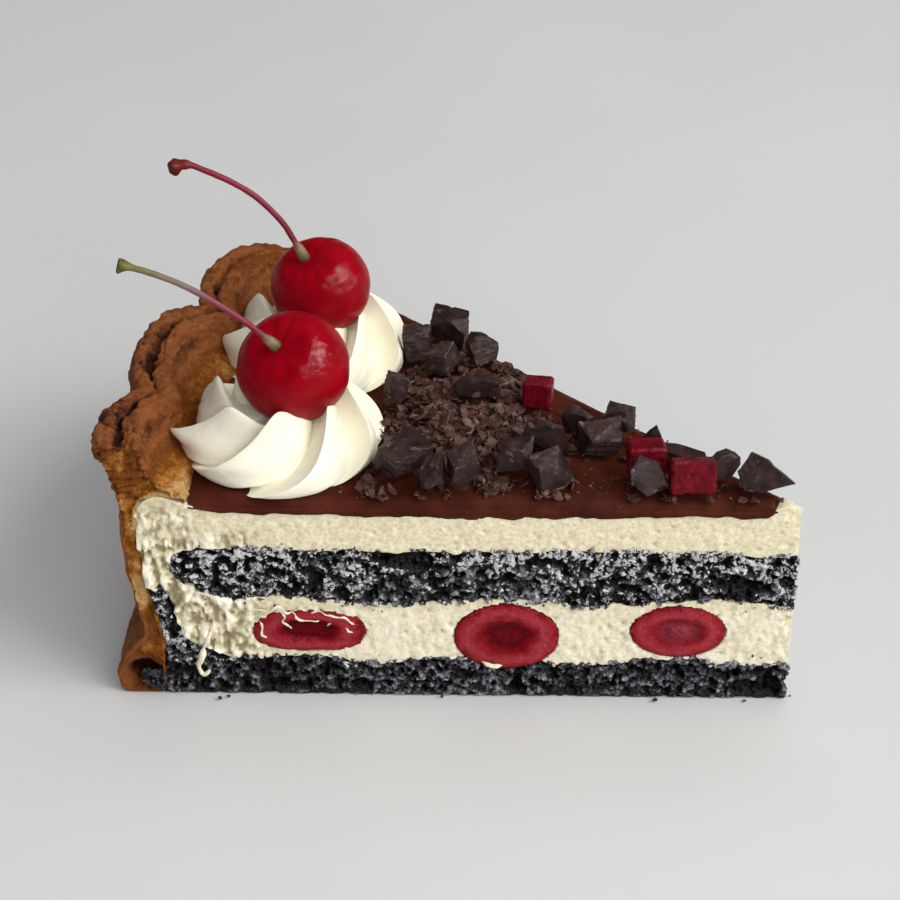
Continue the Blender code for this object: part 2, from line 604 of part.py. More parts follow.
def centre_on_origin(parts, cutters):
    """Moves everything under one empty so that the origin is the slice's bottom centre."""
    bpy.context.view_layer.update()
    graph = bpy.context.evaluated_depsgraph_get()
    corners = []
    for obj in parts.objects:
        shown = obj.evaluated_get(graph)
        mesh = shown.to_mesh()
        corners += [shown.matrix_world @ v.co for v in mesh.vertices]
        shown.to_mesh_clear()
    low, high = (Vector(pick(c[i] for c in corners) for i in range(3)) for pick in (min, max))
    root = bpy.data.objects.new("slice_frame", None)
    bpy.context.scene.collection.objects.link(root)
    root.location = (-(low.x + high.x) / 2, -(low.y + high.y) / 2, 0)
    for obj in [*parts.objects, *cutters.objects]:
        obj.parent = root


def main():
    for obj in list(bpy.data.objects):
        bpy.data.objects.remove(obj)
    parts = collection("black_forest_cake_slice")
    cutters = collection("cutters")
    sweep("pastry_crust", crust_section, CRUST_STEPS, "pastry", parts)
    base = sweep("sponge_base", base_section, LAYER_STEPS, "dark_sponge", parts)
    sweep("sponge_middle", middle_section, LAYER_STEPS, "dark_sponge", parts)
    cream = sweep("cream_filling", cream_section, LAYER_STEPS, "cream", parts)
    sweep("ganache_top", ganache_section, LAYER_STEPS, "ganache", parts)
    for which in FILLING_CHERRIES:
        pocket = filling_cherry(which, parts, cutters)
        cut(cream, pocket)
        cut(base, pocket)
    for which in TOP_CHERRIES:
        rosette(which, parts, cutters)
        cherry(which, parts)
        stem(which, parts)
    press_rosettes(cutters)
    heap(parts)
    for number in range(len(CHUNKS)):
        chunk(number, parts)
    for which in JELLY_SQUARES:
        jelly_square(which, parts)
    centre_on_origin(parts, cutters)


main()
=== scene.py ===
import itertools
import json
import math
import random

import bmesh
import bpy
import numpy as np
from mathutils import Matrix, Quaternion, Vector, geometry, kdtree

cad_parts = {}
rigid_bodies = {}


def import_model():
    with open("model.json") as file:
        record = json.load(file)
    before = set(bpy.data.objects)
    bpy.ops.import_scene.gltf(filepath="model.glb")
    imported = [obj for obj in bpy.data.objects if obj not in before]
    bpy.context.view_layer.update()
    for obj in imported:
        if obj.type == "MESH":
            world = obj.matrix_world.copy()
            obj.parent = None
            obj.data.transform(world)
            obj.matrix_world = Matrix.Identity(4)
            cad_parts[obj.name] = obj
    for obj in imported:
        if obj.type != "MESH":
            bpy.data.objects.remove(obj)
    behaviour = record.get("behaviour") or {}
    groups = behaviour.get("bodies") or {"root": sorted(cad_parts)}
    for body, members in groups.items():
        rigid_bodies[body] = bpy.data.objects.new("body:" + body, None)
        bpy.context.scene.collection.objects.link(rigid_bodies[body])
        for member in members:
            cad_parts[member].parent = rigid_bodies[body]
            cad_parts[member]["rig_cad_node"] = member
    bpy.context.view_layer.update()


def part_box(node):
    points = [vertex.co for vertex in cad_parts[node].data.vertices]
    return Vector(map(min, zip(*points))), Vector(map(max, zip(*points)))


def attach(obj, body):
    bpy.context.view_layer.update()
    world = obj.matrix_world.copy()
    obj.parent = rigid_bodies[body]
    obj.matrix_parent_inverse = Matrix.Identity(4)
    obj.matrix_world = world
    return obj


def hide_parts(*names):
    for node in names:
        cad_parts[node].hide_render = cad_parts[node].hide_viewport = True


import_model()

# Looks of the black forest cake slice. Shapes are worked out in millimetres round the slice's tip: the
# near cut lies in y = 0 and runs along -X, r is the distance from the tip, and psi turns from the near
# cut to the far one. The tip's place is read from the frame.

MM = 0.001
TAU = math.tau

# The slice, as the solids have it
SLICE_ANGLE = math.radians(43)
TIP_RADIUS = 0.4
BASE_TOP = (7.6, 0.6, 34, -88)  # mean height, swell, wavelength along X, where the swell peaks
MIDDLE_BOTTOM = (20.1, 0.6, 36, -50)
MIDDLE_TOP = (30.6, 0.4, 62, -34)
CREAM_TOP = (38.0, 0.4, 70, -88)
GANACHE_TOP = (40.7, 0.3, 48, -96)
LAYER_END = 96
BASE_SIDE = ((108.4, 0), (107.6, 5), (107.6, 12), (109.0, 18.6), (109.2, 21.6))
BASE_LIP = ((107.9, 22.5), (106.8, 20.6), (105.6, 15.0), (103.4, 10.6))
MIDDLE_NOSE = ((101.2, 21.9), (104.6, 24.2), (105.9, 27.0), (105.0, 29.2), (101.0, 30.6))
CREAM_BEND = ((103.1, 11.0), (105.2, 15.2), (106.4, 20.8), (107.7, 22.95), (109.3, 22.1))
CREAM_WALL = ((110.2, 26.0), (111.3, 34.0), (110.7, 39.0), (107.4, 40.9), (102.6, 39.3))
CREAM_SLOT = ((101.1, 31.0), (105.3, 29.6), (106.4, 27.0), (104.9, 23.8), (101.4, 21.4))
GANACHE_RIM = ((102.1, 39.2), (102.3, 40.2))
GANACHE_START = 4.2
TIP_CREAM_TOP = 40.1

# How finely the layers are meshed, and how far one reaches into the next
SPONGE_SPACING = 0.27
CREAM_SPACING = 0.4
GANACHE_SPACING = 0.5
OVERLAP = 0.3
FOOT_POINTS = 220
HALF_CUTS = (0, 0.004, 0.009, 0.016, 0.026, 0.04, 0.06, 0.09, 0.13, 0.18, 0.24, 0.31, 0.38, 0.44, 0.5)
CUTS = HALF_CUTS + tuple(1 - turn for turn in reversed(HALF_CUTS[:-1]))  # from the near cut to the far one

# Pastry crust. Towards the far cut it stands further out, its flutes deepen and its rim sinks.
CRUST_GROWTH = 4.6
CRUST_FOOT = 107.8  # where the bottom sponge meets it, at the near cut
FLUTE_PITCH = math.radians(15.1)
FLUTE_FIRST = math.radians(3.4)
FLUTE_FALL = 0.43  # share of the pitch over which a flute falls back
FLUTE_POWER = 2.2
FLUTE_DEPTH = (1.9, 3.7)  # at the near cut and at the far one
FLUTE_LIFT = 0.5
FAR_DROP = 5.6
FAR_DROP_SHARE = 0.25
RIM_FROM = 40.0
RIM_TOP = 46
RIM_INSIDE = (103, 107)
CRUST_CORNERS = (  # r, z, share of the flute's wave, and how dark it is from baking, with painted shade in the crease between the rim's ropes
    (108.8, 0.0, 0.0, 0.7), (112.4, 0.0, 0.0, 0.7), (115.4, 0.0, 0.0, 0.8), (116.6, 3.2, 0.0, 0.74),
    (114.8, 8.0, 0.0, 0.66), (111.2, 12.6, 0.0, 0.62), (112.8, 19.0, 0.0, 0.58), (113.8, 28.0, 0.0, 0.56),
    (113.9, 37.0, 0.1, 0.6), (114.5, 43.0, 0.5, 0.62), (115.8, 47.4, 1.0, 0.62), (114.9, 50.4, 1.0, 0.64),
    (112.8, 50.7, 1.0, 0.62), (111.7, 49.2, 1.0, 0.86), (110.7, 50.3, 0.99, 0.62), (109.0, 50.4, 0.97, 0.56),
    (107.7, 49.0, 0.95, 0.6), (107.5, 46.8, 0.9, 0.7), (106.6, 44.4, 0.66, 0.44), (104.6, 42.5, 0.35, 0.34),
    (102.8, 41.2, 0.1, 0.24), (102.5, 39.5, 0.0, 0.1), (107.4, 40.9, 0.0, 0.1), (110.6, 38.9, 0.0, 0.1),
    (111.2, 34.0, 0.0, 0.2), (110.1, 26.0, 0.0, 0.2), (109.5, 20.0, 0.0, 0.2), (107.9, 12.0, 0.0, 0.3),
    (107.9, 5.0, 0.0, 0.4),
)
CRUST_ENDS = (0.0006, 0.0015, 0.003)  # extra turns where the ends are rounded
CRUST_FINENESS = 7  # points added between two corners
CRUST_STEPS = 290
CRUST_SPACING = 0.4
CRUST_RADIUS = 112  # about where the crust stands, to turn angles into lengths
CREASE_RADIUS = 111.7

# Cherries and stems
TOP_CHERRIES = {  # centre, radius, direction of the stem end
    "front": ((-85.3, 17.2, 56.1), 9.6, (-0.246, -0.536, 0.805)),
    "back": ((-82.3, 45.0, 56.2), 8.9, (-0.317, -0.310, 0.890)),
}
CHERRY_POINTS = 110  # round a cherry
CHERRY_SQUASH = 0.96
DIMPLE_DEPTH = 2.0
DIMPLE_WIDTH = 0.42
STEM_PATHS = {  # from the cherry to the picked end
    "front": ((-87.4, 12.7, 62.6), (-89.4, 12.6, 64.6), (-92.0, 12.7, 66.9), (-96.3, 13.0, 70.1),
              (-101.4, 13.4, 73.2), (-106.1, 13.8, 75.2), (-110.1, 14.0, 76.5), (-113.0, 14.0, 77.2)),
    "back": ((-84.7, 42.6, 62.9), (-86.2, 42.6, 65.9), (-88.6, 42.7, 70.2), (-92.7, 42.9, 74.7),
             (-96.8, 43.0, 77.5), (-101.0, 43.0, 79.6), (-104.4, 43.0, 80.9), (-107.6, 43.0, 80.2)),
}
STEM_RADIUS = 0.62
STEM_SIDES = 18

# Piped rosettes: centre, radius and height, and the turn of the first petal
ROSETTES = {
    "front": ((-88.0, 17.4), 17.5, 9.6, math.radians(40)),
    "back": ((-83.6, 46.6), 16.8, 11.0, math.radians(40)),
}
PETALS = 7
PETAL_TWIST = 1.9  # how far a petal turns as it climbs, in radians
PETAL_CREST = ((0.82, 0.0), (0.94, 0.05), (1.0, 0.2), (0.99, 0.38), (0.9, 0.6), (0.76, 0.84), (0.64, 1.02),
               (0.54, 1.08), (0.4, 0.95), (0.06, 0.85))  # share of the radius, share of the height
PETAL_FOLD = ((0.74, 0.0), (0.8, 0.04), (0.83, 0.12), (0.77, 0.24), (0.66, 0.37), (0.55, 0.5), (0.46, 0.62),
              (0.39, 0.72), (0.3, 0.78), (0.06, 0.8))
PETAL_TIPS = {
    "front": (0.0, 0.02, 0.13, 0.06, 0.03, 0.0, 0.0),
    "back": (0.0, 0.03, 0.05, 0.03, 0.0, 0.0, 0.03),
}
PETAL_LIFT = {"front": 0.2, "back": 0.04}
PETAL_POINTS = 50  # round one petal
PETAL_SLOPE = 0.84  # share of a petal that slopes away before the steep face of the next

# Cut cherries: cut, distance from the tip, depth of the centre, its height, half sizes
FILLING_CHERRIES = {
    "near_1": ("near", 82.8, 1.6, 13.6, (9.7, 7.5, 4.3)),
    "near_2": ("near", 49.0, 1.4, 12.7, (9.0, 8.6, 6.9)),
    "near_3": ("near", 19.6, 1.2, 14.1, (8.2, 6.4, 5.4)),
    "far_1": ("far", 30.0, 1.4, 13.8, (8.4, 6.6, 5.5)),
    "far_2": ("far", 58.0, 1.6, 13.0, (8.8, 8.0, 6.2)),
    "far_3": ("far", 86.0, 1.4, 13.8, (8.6, 7.4, 5.4)),
}

# How each cut face looks: depth of its hollow, reach of the hollow, height of the stone's seat in it,
# and unevenness of its outline
CUT_FACES = {
    "near_1": (1.0, 0.62, 0.0, 0.1), "near_2": (0.7, 0.6, 0.1, 0.03), "near_3": (0.5, 0.66, 0.6, 0.025),
    "far_1": (0.6, 0.62, 0.4, 0.03), "far_2": (0.8, 0.58, 0.0, 0.05), "far_3": (0.5, 0.64, 0.5, 0.04),
}
CUT_RINGS, SKIN_RINGS = 34, 12  # rings on the cut face, and on the skin behind it

# The chocolate heap and the jelly squares in it
CHUNKS = range(1, 21)
JELLY = ("front", "middle", "back")
HEAP_CENTRE = np.array((-56.6, 23.0))
HEAP_HALF = np.array((12.6, 21.0))
HEAP_RISE = 1.9
SPREADS = (  # where shavings lie: centre, half sizes, how many, and the longest
    ((-56.6, 23.0), (14.4, 22.6), 1120, 3.0), ((-57.0, 22.0), (13.4, 21.0), 380, 5.0),
    ((-70.4, 2.4), (3.4, 1.8), 110, 3.4), ((-42.6, 1.7), (3.4, 1.5), 80, 3.2),
    ((-52.5, 5.2), (5.0, 3.8), 120, 3.2), ((-44.0, 16.5), (6.0, 6.0), 130, 3.2),
)
CLEAR_OF_NEAR, CLEAR_OF_FAR = 0.3, 0.6  # how far from each cut the shavings and the broken pieces stay
DUST_EACH = 14  # fine shavings round the foot of each chunk
BITS = ((-56.6, 23.0), (14.6, 22.6), 260)  # small broken pieces: centre, half sizes, how many
SPECKS_FROM, SPECKS_TO = (-78, 0.6), (-12, 30)  # where specks are strewn over the ganache
SPECK_SIZE = 0.22  # of a broken piece
CURLS = (  # centre, length, width, curl in radians, turn and lean in degrees
    ((-38.8, 5.6), 6.8, 1.5, 1.7, -62, 70), ((-40.6, 3.4), 4.6, 1.1, 1.2, 40, 50),
    ((-57.6, 44.0), 5.2, 2.2, 2.6, 30, 40), ((-62.0, 40.2), 5.0, 2.0, 2.2, -25, 55),
    ((-50.6, 33.4), 5.6, 1.8, 2.4, 70, 35), ((-48.0, 12.0), 5.0, 1.4, 2.0, 15, 60),
)
CURL_THICKNESS = 0.3

# Loose cream and crumbs
CREAM_STRANDS = (  # how thick, and the path on the near cut, from the tip
    (0.5, ((-99.4, 0.2, 15.0), (-100.2, -0.9, 12.1), (-101.2, -1.1, 9.5), (-102.1, -1.2, 6.9),
           (-101.4, -1.2, 5.0), (-100.2, -1.0, 6.0))),
    (0.2, ((-92.6, 0.3, 18.4), (-90.0, -0.4, 18.2), (-88.2, -0.6, 19.0), (-86.0, -0.5, 18.2),
           (-84.0, 0.2, 18.8))),
    (0.2, ((-88.9, 0.1, 19.4), (-88.0, -0.5, 18.0), (-86.6, -0.7, 17.2), (-86.9, -0.6, 15.4),
           (-86.2, 0.1, 14.0))),
    (0.2, ((-86.4, 0.1, 19.2), (-84.9, -0.5, 18.2), (-84.4, -0.6, 16.6), (-82.6, -0.5, 16.3),
           (-80.8, 0.2, 15.6))),
    (0.18, ((-82.8, 0.3, 17.0), (-81.0, -0.3, 17.9), (-78.6, -0.4, 17.0), (-76.6, -0.4, 16.8),
            (-74.6, 0.2, 15.2))),
    (0.18, ((-79.8, 0.1, 14.6), (-78.2, -0.3, 15.4), (-76.2, -0.4, 14.2), (-74.8, 0.2, 12.8))),
    (0.17, ((-91.4, 0.2, 16.4), (-90.4, -0.5, 14.6), (-91.0, -0.5, 12.8), (-89.6, 0.1, 11.6))),
    (0.34, ((-54.6, 0.1, 7.7), (-52.6, -0.4, 7.2), (-50.4, -0.5, 6.9), (-48.4, 0.1, 6.7))),
)
CAUGHT_CRUMBS, FALLEN_CRUMBS = 170, 60  # on the cream's edges, and in the hollow of the crust's near cut
CRUST_HOLLOW = ((-112.0, -108.0), (-0.1, 1.0), (0.9, 4.6))
FLOOR_CRUMBS = ((-98.6, -1.9), (-97.2, -1.2), (-60.1, -1.0), (-23.0, -1.3), (-7.4, -1.1), (0.6, 0.5))

CREAM_GLOW = (1.0, 0.75, 0.45)  # how far light is carried inside cream: red, green and blue

# Stage, in metres. Lights: direction and height in degrees, distance, size, power, colour, and whether
# glossy things mirror the light instead of being lit by it.
LIGHTS = {
    "key": (66, 42, 1.6, (1.1, 1.1), 22.5, (1.0, 0.98, 0.95), False),
    "window": (66, 42, 1.5, (0.74, 0.78), 56.0, (1.0, 0.95, 0.97), True),
    "front": (14, 32, 1.3, (0.9, 0.6), 6.0, (0.98, 0.99, 1.0), False),
    "back": (165, 58, 1.4, (0.9, 0.6), 2.8, (1.0, 0.98, 0.95), False),
}
LIGHTS_AIM = Vector((0, 0, 0.03))
ROOM_COLOUR = (0.88, 0.89, 0.92, 1)
ROOM_STRENGTH, MIRRORED_ROOM = 0.34, 0.06
FLOOR_SIZE, FLOOR_DROP = 6, 0.0002
CAMERA_PLACE = Vector((0.0057, -0.3802, 0.2712))
CAMERA_FORWARD = Vector((-0.0131, 0.8385, -0.5447))
CAMERA_RIGHT = Vector((0.99988, 0.0157, 0))
CAMERA_LENS, CAMERA_SENSOR = 99, 36

BASE_LOW, BASE_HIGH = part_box("sponge_base")
TIP = np.array((BASE_HIGH[0] / MM + TIP_RADIUS * math.cos(SLICE_ANGLE), BASE_LOW[1] / MM, 0))


# ---------------------------------------------------------------- numbers


def scatter(cells, seed):
    """A repeatable number from 0 to 1 for each whole-numbered cell."""
    x, y, z = (cells[..., i].astype(np.int64) for i in range(3))
    mixed = (x * 374761393 + y * 668265263 + z * 1274126177 + seed * 1446653) & 0xFFFFFFFF
    mixed = ((mixed ^ (mixed >> 13)) * 1103515245) & 0xFFFFFFFF
    mixed = ((mixed ^ (mixed >> 15)) * 1274126177) & 0xFFFFFFFF
    return ((mixed ^ (mixed >> 16)) & 0xFFFFFF) / 0xFFFFFF


def noise(points, size, seed=0, octaves=1):
    """Smooth noise from -1 to 1 whose waves are about size long."""
    total, reach = 0, 0
    for octave in range(octaves):
        where = points / size * 2**octave + 31.7 * seed
        cell = np.floor(where)
        t = where - cell
        t = t * t * (3 - 2 * t)
        value = 0
        for corner in itertools.product((0, 1), repeat=3):
            weight = np.prod(np.where(corner, t, 1 - t), axis=-1)
            value = value + weight * scatter(cell + corner, seed + octave)
        total = total + (2 * value - 1) / 2**octave
        reach += 1 / 2**octave
    return total / reach


def cells_of(points, size, seed=0):
    """Distance to the nearest of points scattered one to a cell, in cells, and that point's own number."""
    where = points / size + 17.3 * seed
    home = np.floor(where)
    nearest = np.full(len(points), 9.0)
    own = np.zeros(len(points))
    for step in itertools.product((-1, 0, 1), repeat=3):
        cell = home + step
        centre = cell + np.stack([scatter(cell, seed + k) for k in (1, 2, 3)], axis=-1)
        away = np.linalg.norm(where - centre, axis=1)
        closer = away < nearest
        nearest = np.where(closer, away, nearest)
        own = np.where(closer, scatter(cell, seed + 4), own)
    return nearest, own


def fade(value, start, end):
    """0 at start and before it, 1 at end and past it, and smooth between. End may be the lower one."""
    t = np.clip((value - start) / (end - start), 0, 1)
    return t * t * (3 - 2 * t)


def bell(value, middle, width):
    """1 at the middle, and falling to 0 on both sides."""
    return np.exp(-(((value - middle) / width) ** 2))


def xyz(x, y, z):
    """Points from their coordinates, each an array or one number for all."""
    return np.stack(np.broadcast_arrays(x, y, z), axis=-1)


# ---------------------------------------------------------------- meshes


def add_piece(name, points, faces, finish, nodes=(), masks=None, sharp=None):
    """A visible piece from points in millimetres round the tip."""
    mesh = bpy.data.meshes.new(name)
    mesh.from_pydata(((np.asarray(points) + TIP) * MM).tolist(), [], faces)
    mesh.materials.append(finish)
    mesh.shade_smooth()
    if sharp is not None:
        mesh.set_sharp_from_angle(angle=math.radians(sharp))
    for key, values in (masks or {}).items():
        mesh.attributes.new(key, "FLOAT", "POINT").data.foreach_set("value", values.astype(np.float32))
    obj = bpy.data.objects.new(name, mesh)
    bpy.context.scene.collection.objects.link(obj)
    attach(obj, "root")
    if nodes:
        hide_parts(*nodes)
    return obj


def normals_of(points, faces):
    """Unit normals at the points of a mesh."""
    mesh = bpy.data.meshes.new("normals")
    mesh.from_pydata(np.asarray(points).tolist(), [], faces)
    found = np.empty(len(points) * 3, np.float32)
    mesh.vertex_normals.foreach_get("vector", found)
    bpy.data.meshes.remove(mesh)
    return found.reshape(-1, 3).astype(float)


def raised(points, faces, relief):
    """The points moved out along their normals."""
    return points + normals_of(points, faces) * relief[:, None]


def reversed_faces(faces):
    return [tuple(reversed(face)) for face in faces]


def polar(r, psi, z):
    return xyz(-r * np.cos(psi), r * np.sin(psi), z)


def growth(psi):
    return CRUST_GROWTH * psi / SLICE_ANGLE


def smooth_line(corners, fineness):
    """Corners with points added between neighbours, on a Catmull-Rom curve."""
    corners = np.asarray(corners, float)
    ends = np.vstack((corners[:1], corners, corners[-1:]))
    made = []
    for before, here, after, beyond in zip(ends, ends[1:], ends[2:], ends[3:]):
        for i in range(fineness):
            t = i / fineness
            made.append(
                0.5 * (2 * here + (after - before) * t + (2 * before - 5 * here + 4 * after - beyond) * t**2
                       + (3 * here - before - 3 * after + beyond) * t**3)
            )
    return np.array([*made, corners[-1]])


def ring_quads(rings, count, ends=()):
    """Quads between neighbouring rings of count points, and a lid on the first ring, the last or both."""
    quads = [
        (i * count + j, i * count + (j + 1) % count, (i + 1) * count + (j + 1) % count, (i + 1) * count + j)
        for i in range(rings - 1)
        for j in range(count)
    ]
    lids = {"first": tuple(reversed(range(count))), "last": tuple(range((rings - 1) * count, rings * count))}
    return quads + [lids[end] for end in ends]


def inside(ring, points):
    """Which points lie inside a closed ring."""
    found = np.zeros(len(points), bool)
    x, y = points[:, 0], points[:, 1]
    for (ax, ay), (bx, by) in zip(ring, np.roll(ring, -1, axis=0)):
        if ay == by:
            continue
        crosses = (ay > y) != (by > y)
        found ^= crosses & (x < (bx - ax) * (y - ay) / (by - ay) + ax)
    return found


def filled(ring, spacing, seed):
    """Points added inside a ring, and the triangles that fill it."""
    low, high = ring.min(axis=0), ring.max(axis=0)
    chance = np.random.default_rng(seed)
    columns = np.arange(low[0], high[0], spacing)
    rows = np.arange(low[1], high[1], 0.87 * spacing)
    grid = np.array(list(itertools.product(columns, rows)))
    grid += chance.uniform(-0.22, 0.22, grid.shape) * spacing
    grid = grid[inside(ring, grid)]
    tree = kdtree.KDTree(len(ring))
    for i, (r, z) in enumerate(ring):
        tree.insert((r, z, 0), i)
    tree.balance()
    clear = [tree.find((r, z, 0))[2] > 0.55 * spacing for r, z in grid]
    points = np.vstack((ring, grid[clear]))
    edges = [(i, (i + 1) % len(ring)) for i in range(len(ring))]
    made = geometry.delaunay_2d_cdt([Vector(p) for p in points], edges, [], 0, 1e-6, True)
    source = np.array([min(ids) for ids in made[3]])
    faces = source[np.array(made[2])]
    faces = faces[inside(ring, points[faces].mean(axis=1))]
    u, v = (points[faces[:, k]] - points[faces[:, 0]] for k in (1, 2))
    turned = u[:, 0] * v[:, 1] < u[:, 1] * v[:, 0]
    faces[turned] = faces[turned][:, ::-1]
    return points[len(ring):], faces.tolist()


def sweep(section, turns, spacing):
    """Points and faces of a section, counter-clockwise in (r, z), swept from cut to cut, with filled cuts."""
    rings = [section(SLICE_ANGLE * turn) for turn in turns]
    count = len(rings[0])
    points = [polar(ring[:, 0], SLICE_ANGLE * turn, ring[:, 1]) for ring, turn in zip(rings, turns)]
    faces = ring_quads(len(rings), count)
    made = count * len(rings)
    for cap, ring, turn in (("near", rings[0], 0), ("far", rings[-1], 1)):
        added, triangles = filled(ring, spacing, seed=7 + turn)
        points.append(polar(added[:, 0], SLICE_ANGLE * turn, added[:, 1]))
        first = 0 if cap == "near" else count * (len(rings) - 1)
        for triangle in triangles:
            a, b, c = (i + first if i < count else i - count + made for i in triangle)
            faces.append((a, c, b) if cap == "near" else (a, b, c))
        made += len(added)
    return np.vstack(points), faces


def cut_frame(side):
    """Directions of a cut: along it from the tip, into the cake, and up."""
    if side == "near":
        return np.array(((-1, 0, 0), (0, 1, 0), (0, 0, 1)), float)
    cos, sin = math.cos(SLICE_ANGLE), math.sin(SLICE_ANGLE)
    return np.array(((-cos, sin, 0), (-sin, -cos, 0), (0, 0, 1)))


def cut_distances(points):
    """Distances in millimetres from the near cut and from the far cut."""
    return points @ cut_frame("near")[1], points @ cut_frame("far")[1]


# ---------------------------------------------------------------- layers


def level(surface, x, y):
    height, swell, length, peak = surface
    return height + swell * np.cos(TAU * (x - peak) / length) * np.cos(y / length)


def ragged(surface, x, y):
    """A layer surface with the unevenness that crumb and knife give it."""
    flat, seed = xyz(x, y, 0), int(surface[0])
    return level(surface, x, y) + 0.42 * noise(flat, 3.4, seed) + 0.22 * noise(flat, 1.2, seed + 1)


def run(surface, psi, start, end, lift, spacing, shape=ragged):
    """Section points along a layer surface, from r = start to r = end."""
    count = int((LAYER_END - TIP_RADIUS) / spacing)
    r = np.linspace(start, end, count)
    return np.column_stack((r, shape(surface, -r * np.cos(psi), r * np.sin(psi)) + lift))


def straight(start, end, spacing):
    """Section points between two corners, without the corners themselves."""
    count = max(2, int(math.dist(start, end) / spacing))
    t = np.linspace(0, 1, count + 1)[1:-1, None]
    return np.array(start) * (1 - t) + np.array(end) * t


def by_crust(psi, corners, fineness=5):
    """Smoothed section points that move out with the crust."""
    return smooth_line(corners, fineness) + (growth(psi), 0)


def base_section(psi):
    end = LAYER_END + growth(psi)
    top = run(BASE_TOP, psi, end, TIP_RADIUS, OVERLAP, SPONGE_SPACING)
    r = np.linspace(TIP_RADIUS, CRUST_FOOT + growth(psi), FOOT_POINTS)
    foot = np.column_stack((r, 0 * r))
    tip = straight((TIP_RADIUS, BASE_TOP[0]), (TIP_RADIUS, 0), SPONGE_SPACING)
    return np.vstack((foot, by_crust(psi, BASE_SIDE + BASE_LIP, 8), top, tip))


def middle_section(psi):
    end = LAYER_END + growth(psi)
    below = run(MIDDLE_BOTTOM, psi, TIP_RADIUS, end, -OVERLAP, SPONGE_SPACING)
    above = run(MIDDLE_TOP, psi, end, TIP_RADIUS, OVERLAP, SPONGE_SPACING)
    tip = straight((TIP_RADIUS, MIDDLE_TOP[0]), (TIP_RADIUS, MIDDLE_BOTTOM[0]), SPONGE_SPACING)
    return np.vstack((below, by_crust(psi, MIDDLE_NOSE, 8), above, tip))


def cream_section(psi):
    """Under, round and over the middle sponge, in one piece."""
    end = LAYER_END + growth(psi)
    spacing = CREAM_SPACING
    heel = (TIP_RADIUS, TIP_CREAM_TOP - 0.4)
    return np.vstack((
        run(BASE_TOP, psi, TIP_RADIUS, end, 0, spacing),
        by_crust(psi, CREAM_BEND + CREAM_WALL),
        run(CREAM_TOP, psi, end, GANACHE_START + 2, 0, spacing, level),
        np.array(((GANACHE_START - 0.3, TIP_CREAM_TOP), (GANACHE_START - 2, TIP_CREAM_TOP + 0.1), heel)),
        straight(heel, (TIP_RADIUS, MIDDLE_TOP[0] + 0.4), spacing),
        run(MIDDLE_TOP, psi, TIP_RADIUS, end, 0, spacing),
        by_crust(psi, CREAM_SLOT),
        run(MIDDLE_BOTTOM, psi, end, TIP_RADIUS, 0, spacing),
        straight((TIP_RADIUS, MIDDLE_BOTTOM[0] - 0.4), (TIP_RADIUS, BASE_TOP[0] + 0.4), spacing),
    ))


def ganache_section(psi):
    end = LAYER_END + growth(psi)
    top = run(GANACHE_TOP, psi, end, GANACHE_START + 0.8, 0, GANACHE_SPACING, level)
    nose = smooth_line(((GANACHE_START + 0.8, top[-1, 1]), (GANACHE_START + 0.1, 40.2),
                        (GANACHE_START + 0.4, 39.3), (GANACHE_START + 2, 38.2)), 3)[1:-1]
    bottom = run(CREAM_TOP, psi, GANACHE_START + 2, end, -0.2, GANACHE_SPACING, level)
    return np.vstack((bottom, by_crust(psi, GANACHE_RIM, 2), top, nose))


def crumb_relief(points, seed):
    """Rough sponge crumb: lumps of several sizes with open pores between them, and a few torn holes."""
    large, own = cells_of(points, 1.0, seed)
    small, grain = cells_of(points, 0.62, seed + 9)
    pores = fade(noise(points, 1.35, seed + 3, 2), 0.1, 0.42)
    holes = fade(noise(points * (0.8, 1, 1), 4.4, seed + 4), 0.42, 0.62)
    lumps = 0.6 * (0.5 - large) + 0.7 * (own - 0.5) + 0.35 * (0.5 - small) + 0.5 * (grain - 0.5)
    return lumps - 0.9 * pores - 0.9 * holes + 0.1 * noise(points, 5, seed + 5)


def opened(points, faces, relief):
    """The points of a cut layer raised by their relief, and pushed in where a cut cherry sits."""
    pocket = pocket_depth(points)
    return raised(points, faces, relief * (pocket == 0)) + inwards(points) * pocket[:, None]


def sponge(name, section, seed, finish, node, smear_of):
    """A sponge layer with crumb standing out of both cuts."""
    points, faces = sweep(section, CUTS, SPONGE_SPACING)
    relief = crumb_relief(points, seed)
    made = opened(points, faces, relief * (0.3 + 0.55 * fade(points[:, 2], 0.2, 1.6)) + 0.1)
    made[:, 2] = np.maximum(made[:, 2], 0)
    # The crumb relief also goes to the finish as a mask, which paints shade into the pores and highlights
    # onto the raised crumbs.
    masks = {"smear": smear_of(points), "relief_shading": np.clip(0.5 + 0.5 * relief, 0, 1)}
    return add_piece(name, made, faces, finish, [node], masks, sharp=25)


def middle_smear(points):
    """How thickly cream flecks the middle sponge: most along its top and beside the crust."""
    x, _, z = points.T
    top, left = fade(z, 23.5, 29.5), fade(-x, 52, 86)
    patches = fade(noise(points * (0.7, 1, 1), 2.8, 41, 2), -0.6, 0.6)
    right = 0.1 * fade(x, -60, -20)
    return np.clip(0.2 + right + (0.32 * top + 0.28 * left * fade(z, 18, 25)) * patches, 0, 0.66)


def base_smear(points):
    """A thin greyish film of cream along the top of the bottom sponge, and on its lip by the crust."""
    x, y, z = points.T
    top = fade(z - level(BASE_TOP, x, y), -3.2, 0)
    lip = fade(-x, 97, 102) * fade(z, 8, 13)
    patches = fade(noise(points * (0.5, 1, 1), 4.0, 51, 2), -0.4, 0.6)
    return np.clip(0.02 + (0.26 * top + 0.3 * lip) * patches, 0, 0.6)


